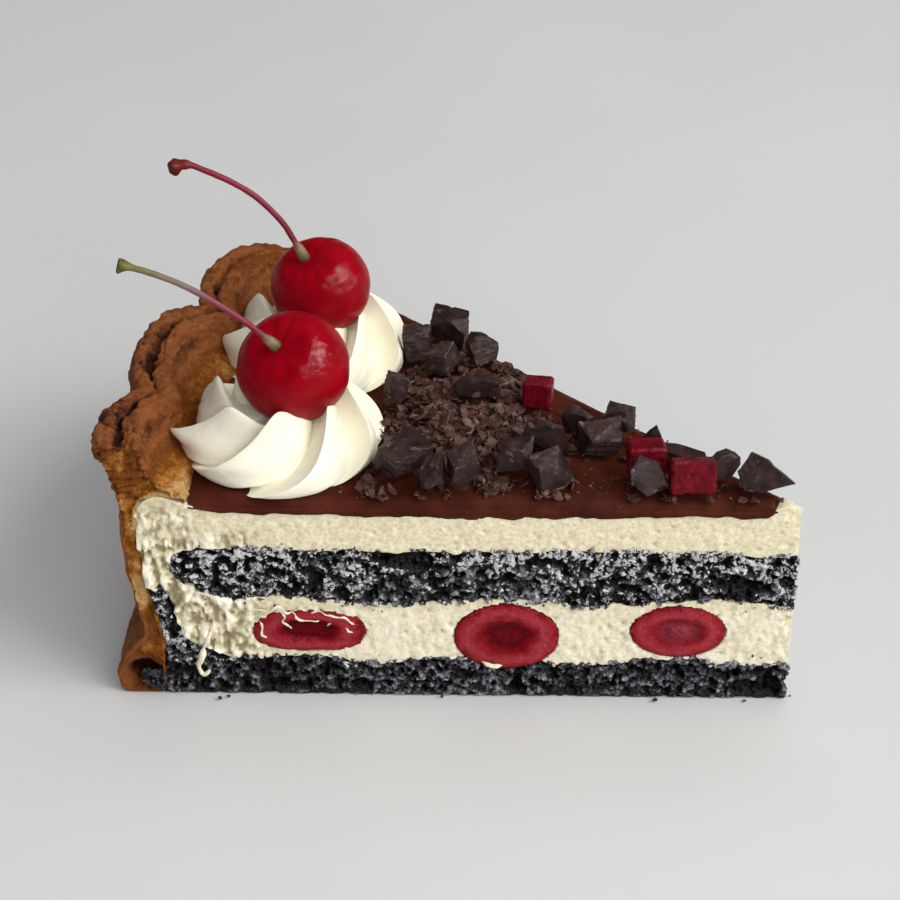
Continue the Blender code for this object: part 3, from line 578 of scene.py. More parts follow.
def pocket_depth(points):
    """How far the cream gives way to the cut cherries."""
    depth = np.zeros(len(points))
    distances = dict(zip(("near", "far"), cut_distances(points)))
    for side, along, _, height, half in FILLING_CHERRIES.values():
        from_tip = points @ cut_frame(side)[0]
        away = ((from_tip - along) / half[0]) ** 2 + ((points[:, 2] - height) / half[2]) ** 2
        on_cut = np.abs(distances[side]) < 0.5
        depth = np.maximum(depth, on_cut * half[1] * np.sqrt(np.clip(1 - away, 0, 1)))
    return depth


def inwards(points):
    """The way into the cake from the nearer cut."""
    near, far = cut_distances(points)
    return np.where((near < far)[:, None], cut_frame("near")[1], cut_frame("far")[1])


def cream(finish):
    """Cream with a grainy cut, torn into fluffy curds beside the crust."""
    points, faces = sweep(cream_section, CUTS, CREAM_SPACING)
    x, y, z = points.T
    r = np.hypot(x, y)
    low = fade(z, 20, 17.5)
    fluff = fade(r + 3 * noise(points, 5, 61), 84, 97) * fade(z, 38, 30)
    fluff = np.maximum(np.maximum(fluff, 0.8 * fade(r, 98, 104)), 0.22 * low)
    grain = 0.12 * noise(points * (1, 1, 0.7), 1.5, 62, 2) + 0.1 * noise(points * (1, 1, 0.6), 0.8, 63)
    pits, own = cells_of(points, 1.9, 64)
    pits = fade(pits, 0.32, 0.1) * (own > 0.5)
    curds, size = cells_of(points * (1, 1, 0.8), 1.15, 68)
    torn = 1.1 * np.abs(noise(points, 3.4, 65, 2)) + 0.4 * (0.6 - curds) + 0.3 * (size - 0.5)
    torn += 0.9 * noise(points * (1.5, 1, 0.7), 0.9, 66, 2)
    relief = grain - 0.45 * pits * (1 - 0.4 * fluff) + fluff * fade(z, 39.5, 37.5) * (torn - 0.2)
    # The height mask follows the relief, so the finish paints shade into the torn cream's hollows. Low down
    # the cut cream is painted lighter, lifting the shade its relief casts: it stands higher on that mask and
    # takes the whiter fluffed colour.
    masks = {
        "fluff": np.maximum(fluff, 0.6 * low),
        "blush": fade(noise(points, 3, 67), 0.2, 0.8) * fade(z, 31, 36) * fade(x, -34, -20),
        "relief_shading": np.clip(0.5 + relief + 0.26 * low * fade(r, 92, 84), 0, 1),
    }
    made = opened(points, faces, relief)
    return add_piece("cream_cut", made, faces, finish, ["cream_filling"], masks, sharp=60)


def strands(finish):
    """Thin strands and a hook of cream that the knife drew over the cut."""
    parts = []
    for thick, corners in CREAM_STRANDS:
        path = smooth_line(corners, 7)
        t = np.linspace(0, 1, len(path))
        path = path + 0.6 * xyz(*(noise(path, 1.6, seed) for seed in (76, 77, 78)))
        radii = thick * (0.3 + 0.7 * np.sin(math.pi * t)) * (1 + 0.5 * noise(path, 0.9, 80))
        points, faces = tube(path, radii, 9)
        parts.append((raised(points, faces, 0.2 * noise(points, 0.9, 79, 2)), faces))
    points, faces = joined(parts)
    masks = {"fluff": np.ones(len(points)), "relief_shading": np.full(len(points), 0.7)}
    return add_piece("cream_strands", points, faces, finish, masks=masks)


def ganache(finish):
    """Chocolate poured over the cream, its cut edges rounded and drawn down by the knife."""
    points, faces = sweep(ganache_section, CUTS, GANACHE_SPACING)
    z, flat = points[:, 2], points * (1, 1, 0)
    near, far = cut_distances(points)
    edge = np.minimum(np.maximum(near, 0), np.maximum(far, 0))
    on_cut = (edge < 0.02) & (normals_of(points, faces)[:, 2] <= 0.5)
    waves = 0.3 * noise(flat, 15, 71) + 0.12 * noise(flat, 5, 72)
    drawn = 0.75 * bell(edge, 0, 0.9) + 0.35 * np.exp(-edge / 3)
    drips = 0.55 * noise(flat, 2.6, 74, 2) - 0.15
    bulge = 0.55 * bell(z, 38.7, 0.7) + 0.25 * bell(z, 40.0, 0.35)
    drag = 0.35 * noise(points, 2.2, 73, 2)
    made = points - inwards(points) * ((bulge + drag * 0.5) * on_cut)[:, None]
    top = fade(z, 39.2, 40.4)
    made[:, 2] += waves * top - top * drawn
    made[:, 2] += on_cut * fade(z, 39.0, 38.0) * drips
    return add_piece("ganache_poured", made, faces, finish, ["ganache_top"], sharp=50)


# ---------------------------------------------------------------- crust


def flute(psi):
    """How far the crust's rim stands out: broad waves outwards with a narrow fold between them."""
    turn = (psi - FLUTE_FIRST) / FLUTE_PITCH % 1
    away = turn / FLUTE_FALL if turn < FLUTE_FALL else (1 - turn) / (1 - FLUTE_FALL)
    low, high = FLUTE_DEPTH
    return (1 - 2 * away**FLUTE_POWER) * (low + (high - low) * psi / SLICE_ANGLE)


def far_drop(psi):
    share = max(0, 1 - (1 - psi / SLICE_ANGLE) / FAR_DROP_SHARE)
    return FAR_DROP * share * share


def crust_rings(turns, corners):
    """The crust's section at each turn, waved by the flutes and rounded off towards both cuts."""
    rings = []
    radius, height, share = corners[:, 0], corners[:, 1], corners[:, 2]
    for turn in turns:
        psi = SLICE_ANGLE * turn
        wave = flute(psi)
        drop = np.where(radius > 111, share, share**2)
        sink = drop * far_drop(psi) * fade(height, RIM_FROM - 4, RIM_FROM + 4)
        ring = np.column_stack((
            radius + growth(psi) + share * wave,
            height + share * wave * FLUTE_LIFT / FLUTE_DEPTH[1] - sink,
        ))
        along = np.roll(ring, -1, axis=0) - np.roll(ring, 1, axis=0)
        outwards = np.column_stack((along[:, 1], -along[:, 0])) / np.linalg.norm(along, axis=1)[:, None]
        z = ring[:, 1]
        bend = (0.5 + 0.35 * fade(z, 42, RIM_TOP)) * fade(radius, *RIM_INSIDE) * fade(z, 1, 5)
        bend = bend * (1 - 0.8 * bell(radius, CREASE_RADIUS, 1.6) * fade(z, 41, RIM_TOP)) + 0.02
        away = min(turn, 1 - turn) * SLICE_ANGLE * CRUST_RADIUS
        crease = bell(radius, CREASE_RADIUS, 0.7) * (height > RIM_TOP)
        ring[:, 1] += 1.5 * crease * bell(away, 0, 2.6)
        left = np.clip(bend - away, 0, None)
        rings.append(ring - outwards * (bend - np.sqrt(bend**2 - left**2))[:, None])
    return rings


def steps(value, sharpness):
    """A value turned into terraces, as layers that flake off end one above another."""
    whole = np.floor(value)
    return whole + fade(value - whole, 1 - sharpness, 1)


def crust_mesh():
    """The crust's points and faces, how dark each point is from baking and painted shade, and 1 on the cuts
    but 0 on the skin.
    """
    corners = smooth_line([*CRUST_CORNERS, CRUST_CORNERS[0]], CRUST_FINENESS)[:-1]
    corners[:, 1] = np.maximum(corners[:, 1], 0)
    even = [i / CRUST_STEPS for i in range(CRUST_STEPS + 1)]
    turns = sorted([*even, *CRUST_ENDS, *(1 - turn for turn in CRUST_ENDS)])
    rings = crust_rings(turns, corners)
    by_turn = {SLICE_ANGLE * turn: ring for turn, ring in zip(turns, rings)}
    points, faces = sweep(by_turn.get, turns, CRUST_SPACING)
    skin = len(corners) * len(rings)
    bake_and_shade, cut_face = np.full(len(points), 0.4), np.ones(len(points))
    bake_and_shade[:skin], cut_face[:skin] = np.tile(corners[:, 3], len(rings)), 0
    return points, faces, bake_and_shade, cut_face


def crust(finish):
    """Fluted pastry: two ropes along the rim with a crease between in painted shade, flaky where it was cut.
    """
    points, faces, bake_and_shade, cut_face = crust_mesh()
    x, y, z = points.T
    r, psi = np.hypot(x, y), np.arctan2(y, -x)
    out, skin = r - growth(psi), 1 - cut_face
    outer, rim = fade(out, 109.5, 111.5) * skin, fade(z, 44, 48) * skin
    end = np.exp(-np.minimum(*cut_distances(points)) / 4.2) * fade(z, 36, 42)
    hollow = np.exp(-(((out - 112.0) / 3.0) ** 2) - ((z - 3.4) / 2.9) ** 2)

    flat = xyz(psi * CRUST_RADIUS, r, z)
    flakes = steps(2.2 * noise(flat * (0.4, 1, 1), 5.5, 81, 3), 0.22)
    shreds = steps(z / 1.5 + 1.1 * noise(flat * (0.5, 1, 1), 3.4, 82, 3), 0.3) - z / 1.5
    blisters, own = cells_of(flat, 2.3, 83)
    blisters = fade(blisters, 0.42, 0.2) * (own > 0.6)
    grain = noise(flat * (0.6, 1, 1), 1.5, 84, 2) + 0.7 * noise(flat, 0.75, 85)
    layers = noise(flat * (1, 1.2, 0.6), 2.4, 89, 3)
    torn = np.abs(noise(flat * (1, 0.8, 0.6), 1.7, 87, 3))

    relief = 0.42 * flakes * (0.4 + 0.6 * rim) + 1.2 * end * shreds + 0.42 * grain * (0.6 + 0.5 * rim)
    relief += 0.4 * noise(flat * (0.7, 1, 1), 7, 86) - 0.5 * blisters * outer
    relief *= np.where(z < 1.5, 0.3, 1)
    relief -= cut_face * (4.2 * hollow + 0.9 * torn - 0.8 * layers)
    made = raised(points, faces, relief)
    made[:, 2] = np.maximum(made[:, 2], 0)

    wave = np.array([flute(min(max(turn, 0), SLICE_ANGLE)) for turn in psi]) / FLUTE_DEPTH[1]
    bake_and_shade += 0.05 * wave * fade(z, 40, 46) + 0.24 * noise(flat, 6, 88, 3) - 0.1 * grain - 0.07 * flakes * rim
    # Painted shade darkens the hollow under the foot at the near cut.
    bake_and_shade += 0.14 * blisters * outer + 0.6 * hollow * cut_face
    bake_and_shade -= 0.3 * end * skin * (1 - fade(out, *RIM_INSIDE))
    bake_and_shade += rim * (0.07 - 0.2 * fade(psi, 0.3, 0.6)) + 0.2 * end * (shreds - 0.4)
    bake_and_shade += cut_face * (0.16 * fade(z, 12, 7) - 0.1 * fade(z, 16, 22) + 0.13 * fade(z, 33, 42))
    bake_and_shade -= cut_face * (0.3 * bell(z, 21.5, 4.5) + 0.34 * layers)
    return add_piece("crust_baked", made, faces, finish, ["pastry_crust"],
                     {"bake_and_shade": np.clip(bake_and_shade, 0, 1)}, sharp=50)


# ---------------------------------------------------------------- cream rosettes


def blade(lobes):
    """How far the surface lies behind a crest: a broad slope, then a steep face up to the next crest."""
    slope = (lobes / PETAL_SLOPE) ** 1.6
    face = (np.clip(1 - lobes, 0, 1) / (1 - PETAL_SLOPE)) ** 0.8
    return np.where(lobes < PETAL_SLOPE, slope, face)


def rosette(which, finish):
    """A piped swirl: petals lean over one another, each with a crisp crest that turns as it climbs."""
    (x, y), radius, height, start = ROSETTES[which]
    chance = np.random.default_rng(95 + len(which))
    around = PETALS * PETAL_POINTS
    own, lobes = np.arange(around) // PETAL_POINTS, np.arange(around) / PETAL_POINTS % 1
    later = fade(lobes, 0.8, 1)
    wider, taller, tip = (
        values[own] * (1 - later) + values[(own + 1) % PETALS] * later
        for values in (chance.uniform(-0.03, 0.04, PETALS), chance.uniform(-0.06, 0.08, PETALS),
                       np.array(PETAL_TIPS[which]))
    )
    notch, edge = bell(lobes, 0.88, 0.1), blade(lobes)
    crests, folds = smooth_line(PETAL_CREST, 8), smooth_line(PETAL_FOLD, 8)
    rings = []
    for i, (crest, fold) in enumerate(zip(crests, folds)):
        t = i / (len(crests) - 1)
        weight, middle = fade(t, 0.08, 0.36), fade(t, 0.84, 0.95)
        groove = (notch * (1 - weight) + edge * weight) * (1 - middle) + 0.5 * middle
        sharp = (1 - groove) ** 3 * (1 - middle)
        reach = crest[0] * (1 - groove) + fold[0] * groove
        rise = crest[1] * (1 - groove) + fold[1] * groove
        reach = radius * (reach * (1 + wider) + tip * sharp * bell(t, 0.4, 0.1))
        z = height * (rise * (1 + taller) + PETAL_LIFT[which] * sharp * bell(t, 0.72, 0.11))
        phi = start + np.arange(around) / around * TAU + PETAL_TWIST * t
        phi = phi + 0.14 * weight * groove * (lobes > 0.4) * (1 - middle)
        rings.append(xyz(x + reach * np.cos(phi), y + reach * np.sin(phi), z))
    points = np.vstack(rings)
    points[:, 2] += GANACHE_TOP[0] - 0.4
    faces = ring_quads(len(rings), around, ("first", "last"))
    uneven = 0.22 * noise(points, 7, 91 + len(which)) + 0.05 * noise(points, 1.6, 92)
    points = raised(points, faces, uneven)
    return add_piece(f"rosette_{which}_piped", points, faces, finish, ["rosette_" + which],
                     sharp=48)


# ---------------------------------------------------------------- cherries


def turned_to(axis):
    return np.array(Vector(axis).to_track_quat("Z", "Y").to_matrix())


def top_cherry(which, finish):
    """A glossy cherry with a dimple, soft dents, and faint folds round its stem."""
    centre, radius, axis = TOP_CHERRIES[which]
    rings = 73
    lat, lon = (angles.ravel() for angles in np.meshgrid(
        np.linspace(0, math.pi, rings), np.arange(CHERRY_POINTS) / CHERRY_POINTS * TAU, indexing="ij"))
    way = xyz(np.sin(lat) * np.cos(lon), np.sin(lat) * np.sin(lon), np.cos(lat))
    seed = 101 + len(which)
    dents = 0.2 * noise(way * 5, 3.4, seed) + 0.1 * noise(way * 5, 1.5, seed + 1)
    folds = 0.16 * np.cos(9 * lon + 2 * noise(way * 5, 3, seed + 2)) * bell(lat, 0.5, 0.25)
    seam = 0.18 * bell(way[:, 0], 0, 0.05) * (way[:, 1] > 0) * bell(lat, 0.7, 0.8)
    points = way * (radius + dents + folds * 0.5 - seam)[:, None]
    points[:, 2] = points[:, 2] * CHERRY_SQUASH - DIMPLE_DEPTH * bell(lat, 0, DIMPLE_WIDTH)
    points = points @ turned_to(axis).T + centre
    faces = reversed_faces(ring_quads(rings, CHERRY_POINTS))
    return add_piece(f"cherry_{which}_glossy", points, faces, finish, ["cherry_" + which])


def tube(path, radii, sides, knobs=None):
    """Points and faces of a closed tube along a path. Knobs gives its outline, by its share and angles."""
    ahead = np.gradient(path, axis=0)
    ahead /= np.linalg.norm(ahead, axis=1)[:, None]
    side = np.cross(ahead, (0, 1, 0.01))
    side /= np.linalg.norm(side, axis=1)[:, None]
    up = np.cross(side, ahead)
    phi = np.arange(sides) / sides * TAU
    points = []
    for i, (at, radius) in enumerate(zip(path, radii)):
        lobe = knobs(i / (len(path) - 1), phi) if knobs else 1
        points.append(at + radius * (np.cos(phi) * lobe)[:, None] * side[i]
                      + radius * (np.sin(phi) * lobe)[:, None] * up[i])
    return np.vstack(points), ring_quads(len(path), sides, ("first", "last"))


def stem_knobs(along, phi):
    """A stem's outline: round, with three knobs towards the picked end."""
    return 1 + (0.16 * fade(along, 0.82, 0.95)) * np.cos(3 * phi + 40 * along)


def stem(which, finish):
    """A thin stem with a collar at the cherry, and a flared or knobbly end where it was picked."""
    path = smooth_line(STEM_PATHS[which], 10)
    t = np.linspace(0, 1, len(path))
    if which == "front":
        flare = 1.3 * fade(t, 0.86, 1.0) * (1 - 0.35 * fade(t, 0.985, 1.0))
    else:
        flare = 1.5 * bell(t, 0.95, 0.045) + 0.5 * bell(t, 0.87, 0.03)
    collar = 0.75 * (1 - fade(t, 0.05, 0.16)) + 0.2 * bell(t, 0.12, 0.02)
    points, faces = tube(path, STEM_RADIUS * (0.86 + flare + collar), STEM_SIDES, stem_knobs)
    points = raised(points, faces, 0.06 * noise(points, 1.2, 111, 2))
    return add_piece(f"stem_{which}_picked", points, faces, finish, ["stem_" + which],
                     {"along": np.repeat(t, STEM_SIDES)}, sharp=60)


def filling_cherry(which, finish):
    """Half a cherry: a wet cut face, its flesh ringed round an uneven hollow where the stone was."""
    side, along, depth, height, half = FILLING_CHERRIES[which]
    hollow, width, seat, uneven = CUT_FACES[which]
    seed = 121 + 7 * list(FILLING_CHERRIES).index(which)
    phi = np.arange(CHERRY_POINTS) / CHERRY_POINTS * TAU
    ring = xyz(np.cos(phi), np.sin(phi), 0)
    outline = 1 + 0.03 * noise(ring * 4, 2, seed) + uneven * noise(ring * 9, 1.6, seed + 1, 2)
    if uneven > 0.08:
        outline /= (np.abs(np.cos(phi)) ** 3 + np.abs(np.sin(phi)) ** 3) ** (1 / 3)
    edge = math.sqrt(1 - (depth / half[1]) ** 2)

    def ring_at(size, into):
        """The outline at a share of its size, and how far into the cake it lies."""
        wide, high = (half[k] * edge * size * outline for k in (0, 2))
        return xyz(wide * np.cos(phi), into, high * np.sin(phi))

    rings, reach = [], []
    for share in np.arange(CUT_RINGS + 1) / CUT_RINGS:
        place = ring * share
        in_hollow = share / width * (1 + 0.22 * noise(place * 3, 1.4, seed + 4, 2))
        dip = hollow * fade(in_hollow, 1.0, 0.5) - seat * fade(in_hollow, 0.42, 0.25)
        pores = fade(noise(place * 14, 1.1, seed + 5), 0.3, 0.7)
        rough = 0.2 * noise(place * 9, 1.6, seed + 2, 3) + 0.12 * pores
        rings.append(ring_at(share, dip - 0.4 * (1 - share**8) + rough * (1 - share**10)))
        reach.append(share + 0.1 * noise(place * 5, 1.6, seed + 3, 2) + 0.15 * (in_hollow - share / width))
    for i in range(1, SKIN_RINGS + 1):
        sink = math.pi / 2 * i / SKIN_RINGS
        rings.append(ring_at(math.cos(sink), 0.02 + half[1] * 0.9 * math.sin(sink)))
        reach.append(np.ones(CHERRY_POINTS))
    points = (np.vstack(rings) + (along, 0, height)) @ cut_frame(side)
    faces = ring_quads(len(rings), CHERRY_POINTS)
    if side == "near":
        faces = reversed_faces(faces)
    masks = {"reach": np.concatenate(reach), "stone": np.full(len(points), seat)}
    return add_piece(f"filling_cherry_{which}_cut", points, faces, finish, ["filling_cherry_" + which],
                     masks)


# ---------------------------------------------------------------- chocolate and jelly


def node_mesh(node):
    """A node's welded mesh in millimetres round the tip, as a bmesh."""
    bm = bmesh.new()
    bm.from_mesh(next(o for o in bpy.context.scene.objects if o.get("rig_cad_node") == node).data)
    bmesh.ops.remove_doubles(bm, verts=bm.verts, dist=1e-6)
    bmesh.ops.dissolve_limit(bm, angle_limit=math.radians(2), verts=bm.verts, edges=bm.edges)
    for vert in bm.verts:
        vert.co = Vector(np.array(vert.co) / MM - TIP)
    return bm


def worked(bm):
    """A bmesh as points and faces."""
    bm.verts.index_update()
    points = np.array([v.co for v in bm.verts])
    faces = [tuple(v.index for v in f.verts) for f in bm.faces]
    bm.free()
    return points, faces


def finer(bm, longest, rounds):
    """Splits edges longer than that until the mesh can carry relief."""
    bmesh.ops.triangulate(bm, faces=bm.faces[:])
    for _ in range(rounds):
        bmesh.ops.subdivide_edges(bm, edges=[e for e in bm.edges if e.calc_length() > longest], cuts=1)
        bmesh.ops.triangulate(bm, faces=bm.faces[:])


def broken_chunk(number, finish):
    """A broken piece of chocolate: smooth moulded faces, and ridged ones where it snapped."""
    node = f"chocolate_chunk_{number:02d}"
    bm = node_mesh(node)
    bmesh.ops.bevel(bm, geom=bm.edges[:], offset=0.07, segments=1, affect="EDGES", profile=0.6)
    finer(bm, 0.45, 4)
    points, faces = worked(bm)
    middle = (points.min(axis=0) + points.max(axis=0)) / 2
    normals = normals_of(points, faces)
    snapped = fade(noise(normals * 3, 2.2, number + 4), -0.1, 0.3)
    ridges = np.abs(noise(points * (0.7, 0.7, 2.4), 1.1, number + 1, 2))
    relief = 0.12 * noise(points, 3.2, number) + snapped * (0.35 * ridges - 0.1)
    from_middle = np.linalg.norm(points - middle, axis=1)
    chips = 0.35 * fade(noise(points, 1.7, number + 2), 0.3, 0.75) * fade(from_middle, 2.0, 3.2)
    points = points + normals * (relief - chips)[:, None]
    return add_piece(node + "_broken", points, faces, finish, [node],
                     {"snapped": snapped}, sharp=26)


def jelly_square(which, finish):
    """A soft red square with rounded edges and small dents."""
    node = "jelly_square_" + which
    bm = node_mesh(node)
    finer(bm, 0.42, 5)
    points, faces = worked(bm)
    dents, own = cells_of(points, 1.9, 131)
    relief = 0.16 * noise(points, 2.0, 132, 2) - 0.2 * fade(dents, 0.34, 0.16) * (own > 0.4)
    points = raised(points, faces, relief)
    return add_piece(node + "_soft", points, faces, finish, [node], sharp=45)


def heap_core(finish):
    """The dark bed under the shavings."""
    around, rings = 120, 27
    phi = np.arange(around) / around * TAU
    uneven = 1 + 0.10 * np.sin(5 * phi) * np.cos(3 * phi + 1)
    made = []
    for i in range(rings):
        share = 1 - i / (rings - 1)
        x, y = (HEAP_CENTRE[k] + HEAP_HALF[k] * 0.93 * share * uneven * way(phi)
                for k, way in enumerate((np.cos, np.sin)))
        lumps = 0.55 * noise(xyz(x, y, 0), 2.4, 141, 3) * fade(1 - share, 0, 0.2)
        lift = HEAP_RISE * (1 - share**2) * fade(1 - share, 0, 0.12) + lumps
        made.append(xyz(x, y, GANACHE_TOP[0] - 0.1 + lift))
    faces = ring_quads(rings, around, ["first"])
    return add_piece("shavings_bed", np.vstack(made), faces, finish, ["shavings_heap"],
                     sharp=40)


def flake(chance, length, width, thick, curl):
    """One shaving: a thin strip with an uneven outline, curled along its length."""
    along, across = (7, 4) if length > 2.6 else (5, 3)
    flat = []
    skew = chance.uniform(-0.5, 0.5)
    for i in range(along):
        u = i / (along - 1) - 0.5
        wide = width * (1 - 0.75 * (2 * abs(u)) ** 2.5) * chance.uniform(0.75, 1.15)
        for j in range(across):
            v = j / (across - 1) - 0.5
            flat.append((u * length, v * wide + skew * u * width))
    flat = np.array(flat)
    turn = flat[:, 0] * curl / length
    wave = np.array([chance.uniform(-0.12, 0.12) for _ in flat]) * width
    top = xyz(length / curl * np.sin(turn), flat[:, 1], length / curl * (1 - np.cos(turn)) + wave)
    points = np.vstack((top, top - (0, 0, thick)))
    below = along * across
    faces = []
    for i, j in itertools.product(range(along - 1), range(across - 1)):
        a, b = i * across + j, (i + 1) * across + j
        faces += [(a, b, b + 1, a + 1), (a + below, a + 1 + below, b + 1 + below, b + below)]
    last = below - across
    rim = [*range(across), *range(2 * across - 1, below, across), *range(below - 2, last - 1, -1),
           *range(last - across, 0, -across)]
    faces += [(a, b, b + below, a + below) for a, b in zip(rim, rim[1:] + rim[:1])]
    return points, faces


def loose(chance, points, tilt):
    """The points turned a random way about Z, and leaned by up to tilt radians."""
    way = Quaternion((0, 0, 1), chance.uniform(0, TAU))
    side = chance.uniform(0, TAU)
    lean = Quaternion((math.cos(side), math.sin(side), 0), chance.uniform(-tilt, tilt))
    return points @ np.array((way @ lean).to_matrix()).T


def heap_height(x, y):
    away = math.hypot((x - HEAP_CENTRE[0]) / HEAP_HALF[0], (y - HEAP_CENTRE[1]) / HEAP_HALF[1])
    return GANACHE_TOP[0] + max(0, HEAP_RISE * (1 - away * away))


def in_ellipse(chance, centre, half, crowding):
    """A random place in an ellipse, nearer its middle the higher the crowding."""
    away, turn = chance.random() ** crowding, chance.uniform(0, TAU)
    return centre[0] + half[0] * away * math.cos(turn), centre[1] + half[1] * away * math.sin(turn)


def joined(parts):
    """Several meshes as one: points and faces."""
    points, faces, made = [], [], 0
    for some, theirs in parts:
        points.append(some)
        faces += [tuple(i + made for i in face) for face in theirs]
        made += len(some)
    return np.vstack(points), faces


def on_slice(x, y):
    """Whether a place lies on the ganache, clear of both cuts."""
    near, far = cut_distances(np.array(((x, y, 0),)))
    return near[0] > CLEAR_OF_NEAR and far[0] > CLEAR_OF_FAR


def standing_chunks():
    """The boxes of the chunks and squares, round the tip in millimetres."""
    names = [f"chocolate_chunk_{n:02d}" for n in CHUNKS] + ["jelly_square_" + which for which in JELLY]
    return [tuple(np.array(corner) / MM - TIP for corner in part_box(name)) for name in names]


def covered(boxes, x, y, inset):
    """Whether a chunk stands over this place, its box drawn in by the inset."""
    return any(all(low[i] + inset < (x, y)[i] < high[i] - inset for i in (0, 1)) for low, high in boxes)


def random_flake(chance, length, widths, thicknesses, most_curl):
    """A shaving whose width, as a share of its length, thickness and curl are drawn from ranges."""
    width, thick = length * chance.uniform(*widths), chance.uniform(*thicknesses)
    curl = chance.choice((-1, 1)) * chance.uniform(0.3, most_curl)
    return flake(chance, length, width, thick, curl)


def standing(points, x, y):
    """The points moved so that their lowest one lies on the heap or the ganache at a place."""
    return points + (x, y, heap_height(x, y) - points[:, 2].min())


def shavings(finish):
    """Hundreds of thin curled shavings, thickest in the middle of the heap, and a few long curls."""
    chance = random.Random(151)
    boxes = standing_chunks()
    parts = []
    for centre, half, count, longest in SPREADS:
        for _ in range(count):
            x, y = in_ellipse(chance, centre, half, 0.6)
            length = longest * chance.uniform(0.36, 1) ** 1.3
            points, faces = random_flake(chance, length, (0.28, 0.7), (0.14, 0.34), 2.4)
            points = loose(chance, points, 0.95)
            if covered(boxes, x, y, 0.3) or not on_slice(x, y):
                continue
            z = heap_height(x, y) + chance.uniform(0.1, 1.5) - points[:, 2].min() * 0.5
            parts.append((points + (x, y, z), faces))
    for low, high in boxes:
        for _ in range(DUST_EACH):
            side = chance.uniform(0, TAU)
            x, y = (
                (low[i] + high[i]) / 2 + ((high[i] - low[i]) / 2 + chance.uniform(-0.3, 1.3)) * way
                for i, way in enumerate((math.cos(side), math.sin(side)))
            )
            points, faces = random_flake(chance, chance.uniform(0.7, 2.4), (0.3, 0.8), (0.14, 0.3), 2)
            if on_slice(x, y):
                parts.append((standing(loose(chance, points, 0.7), x, y), faces))
    for (x, y), length, width, curl, turn, lean in CURLS:
        points, faces = flake(chance, length, width, CURL_THICKNESS, curl)
        pose = Matrix.Rotation(math.radians(turn), 3, "Z") @ Matrix.Rotation(math.radians(lean), 3, "X")
        parts.append((standing(points @ np.array(pose).T, x, y), faces))
    points, faces = joined(parts)
    return add_piece("chocolate_shavings", points, faces, finish, sharp=35)


def fragment(chance, size, squash=1):
    """A small angular piece: the hull of a few scattered points."""
    bm = bmesh.new()
    for _ in range(11):
        way = Vector([chance.uniform(-1, 1) for _ in range(3)]).normalized()
        bm.verts.new(way * size / 2 * chance.uniform(0.7, 1))
    hull = bmesh.ops.convex_hull(bm, input=bm.verts)
    bmesh.ops.delete(bm, geom=hull["geom_interior"], context="VERTS")
    bmesh.ops.scale(bm, vec=(1, 1, squash), verts=bm.verts)
    return worked(bm)


def bits(finish):
    """Small broken pieces among the shavings, and dust-like specks on the ganache round them."""
    chance = random.Random(161)
    boxes = standing_chunks()
    parts = []
    centre, half, count = BITS
    for i in range(2 * count):
        x, y = in_ellipse(chance, centre, half, 0.55)
        points, faces = fragment(chance, chance.uniform(1.2, 3.8), chance.uniform(0.5, 0.9))
        if i >= count:
            x, y = (chance.uniform(*ends) for ends in zip(SPECKS_FROM, SPECKS_TO))
            points = points * SPECK_SIZE
        if covered(boxes, x, y, -0.5) or not on_slice(x, y):
            continue
        lift = heap_height(x, y) + (chance.uniform(0, 1.3) if i < count else 0.1)
        parts.append((loose(chance, points, 0.5) + (x, y, lift), faces))
    points, faces = joined(parts)
    masks = {"snapped": np.full(len(points), 0.5)}
    return add_piece("chocolate_bits", points, faces, finish, masks=masks, sharp=20)


def crumbs(finish):
    """Loose sponge crumbs: caught on the cut cream, at the tip, and fallen at the foot of the slice."""
    chance = random.Random(171)
    parts = []
    for _ in range(CAUGHT_CRUMBS):
        r = chance.uniform(1, 104)
        z = chance.choice((BASE_TOP[0], MIDDLE_BOTTOM[0], MIDDLE_TOP[0])) + chance.gauss(0, 0.9)
        along, into, up = cut_frame(chance.choice(("near", "far")))
        points, faces = fragment(chance, chance.uniform(0.25, 0.75))
        parts.append((points + r * along + z * up - 0.35 * into, faces))
    for _ in range(FALLEN_CRUMBS):
        points, faces = fragment(chance, chance.uniform(0.8, 2.0))
        spot = [chance.uniform(*ends) for ends in CRUST_HOLLOW]
        parts.append((points + spot, faces))
    for x, y in FLOOR_CRUMBS:
        points, faces = fragment(chance, chance.uniform(0.5, 1.1), 0.8)
        parts.append((points - (0, 0, points[:, 2].min()) + (x, y, 0), faces))
    points, faces = joined(parts)
    masks = {"smear": np.full(len(points), 0.05), "relief_shading": np.full(len(points), 0.5)}
    return add_piece("sponge_crumbs", points, faces, finish, masks=masks)


# ---------------------------------------------------------------- materials


def linear(level):
    """One channel's level on screen, from 0 to 255, as the shader wants it."""
    share = level / 255
    return share / 12.92 if level < 10 else ((share + 0.055) / 1.055) ** 2.4


def seen(red, green, blue):
    """A colour given as it looks on screen, with its alpha."""
    return linear(red), linear(green), linear(blue), 1


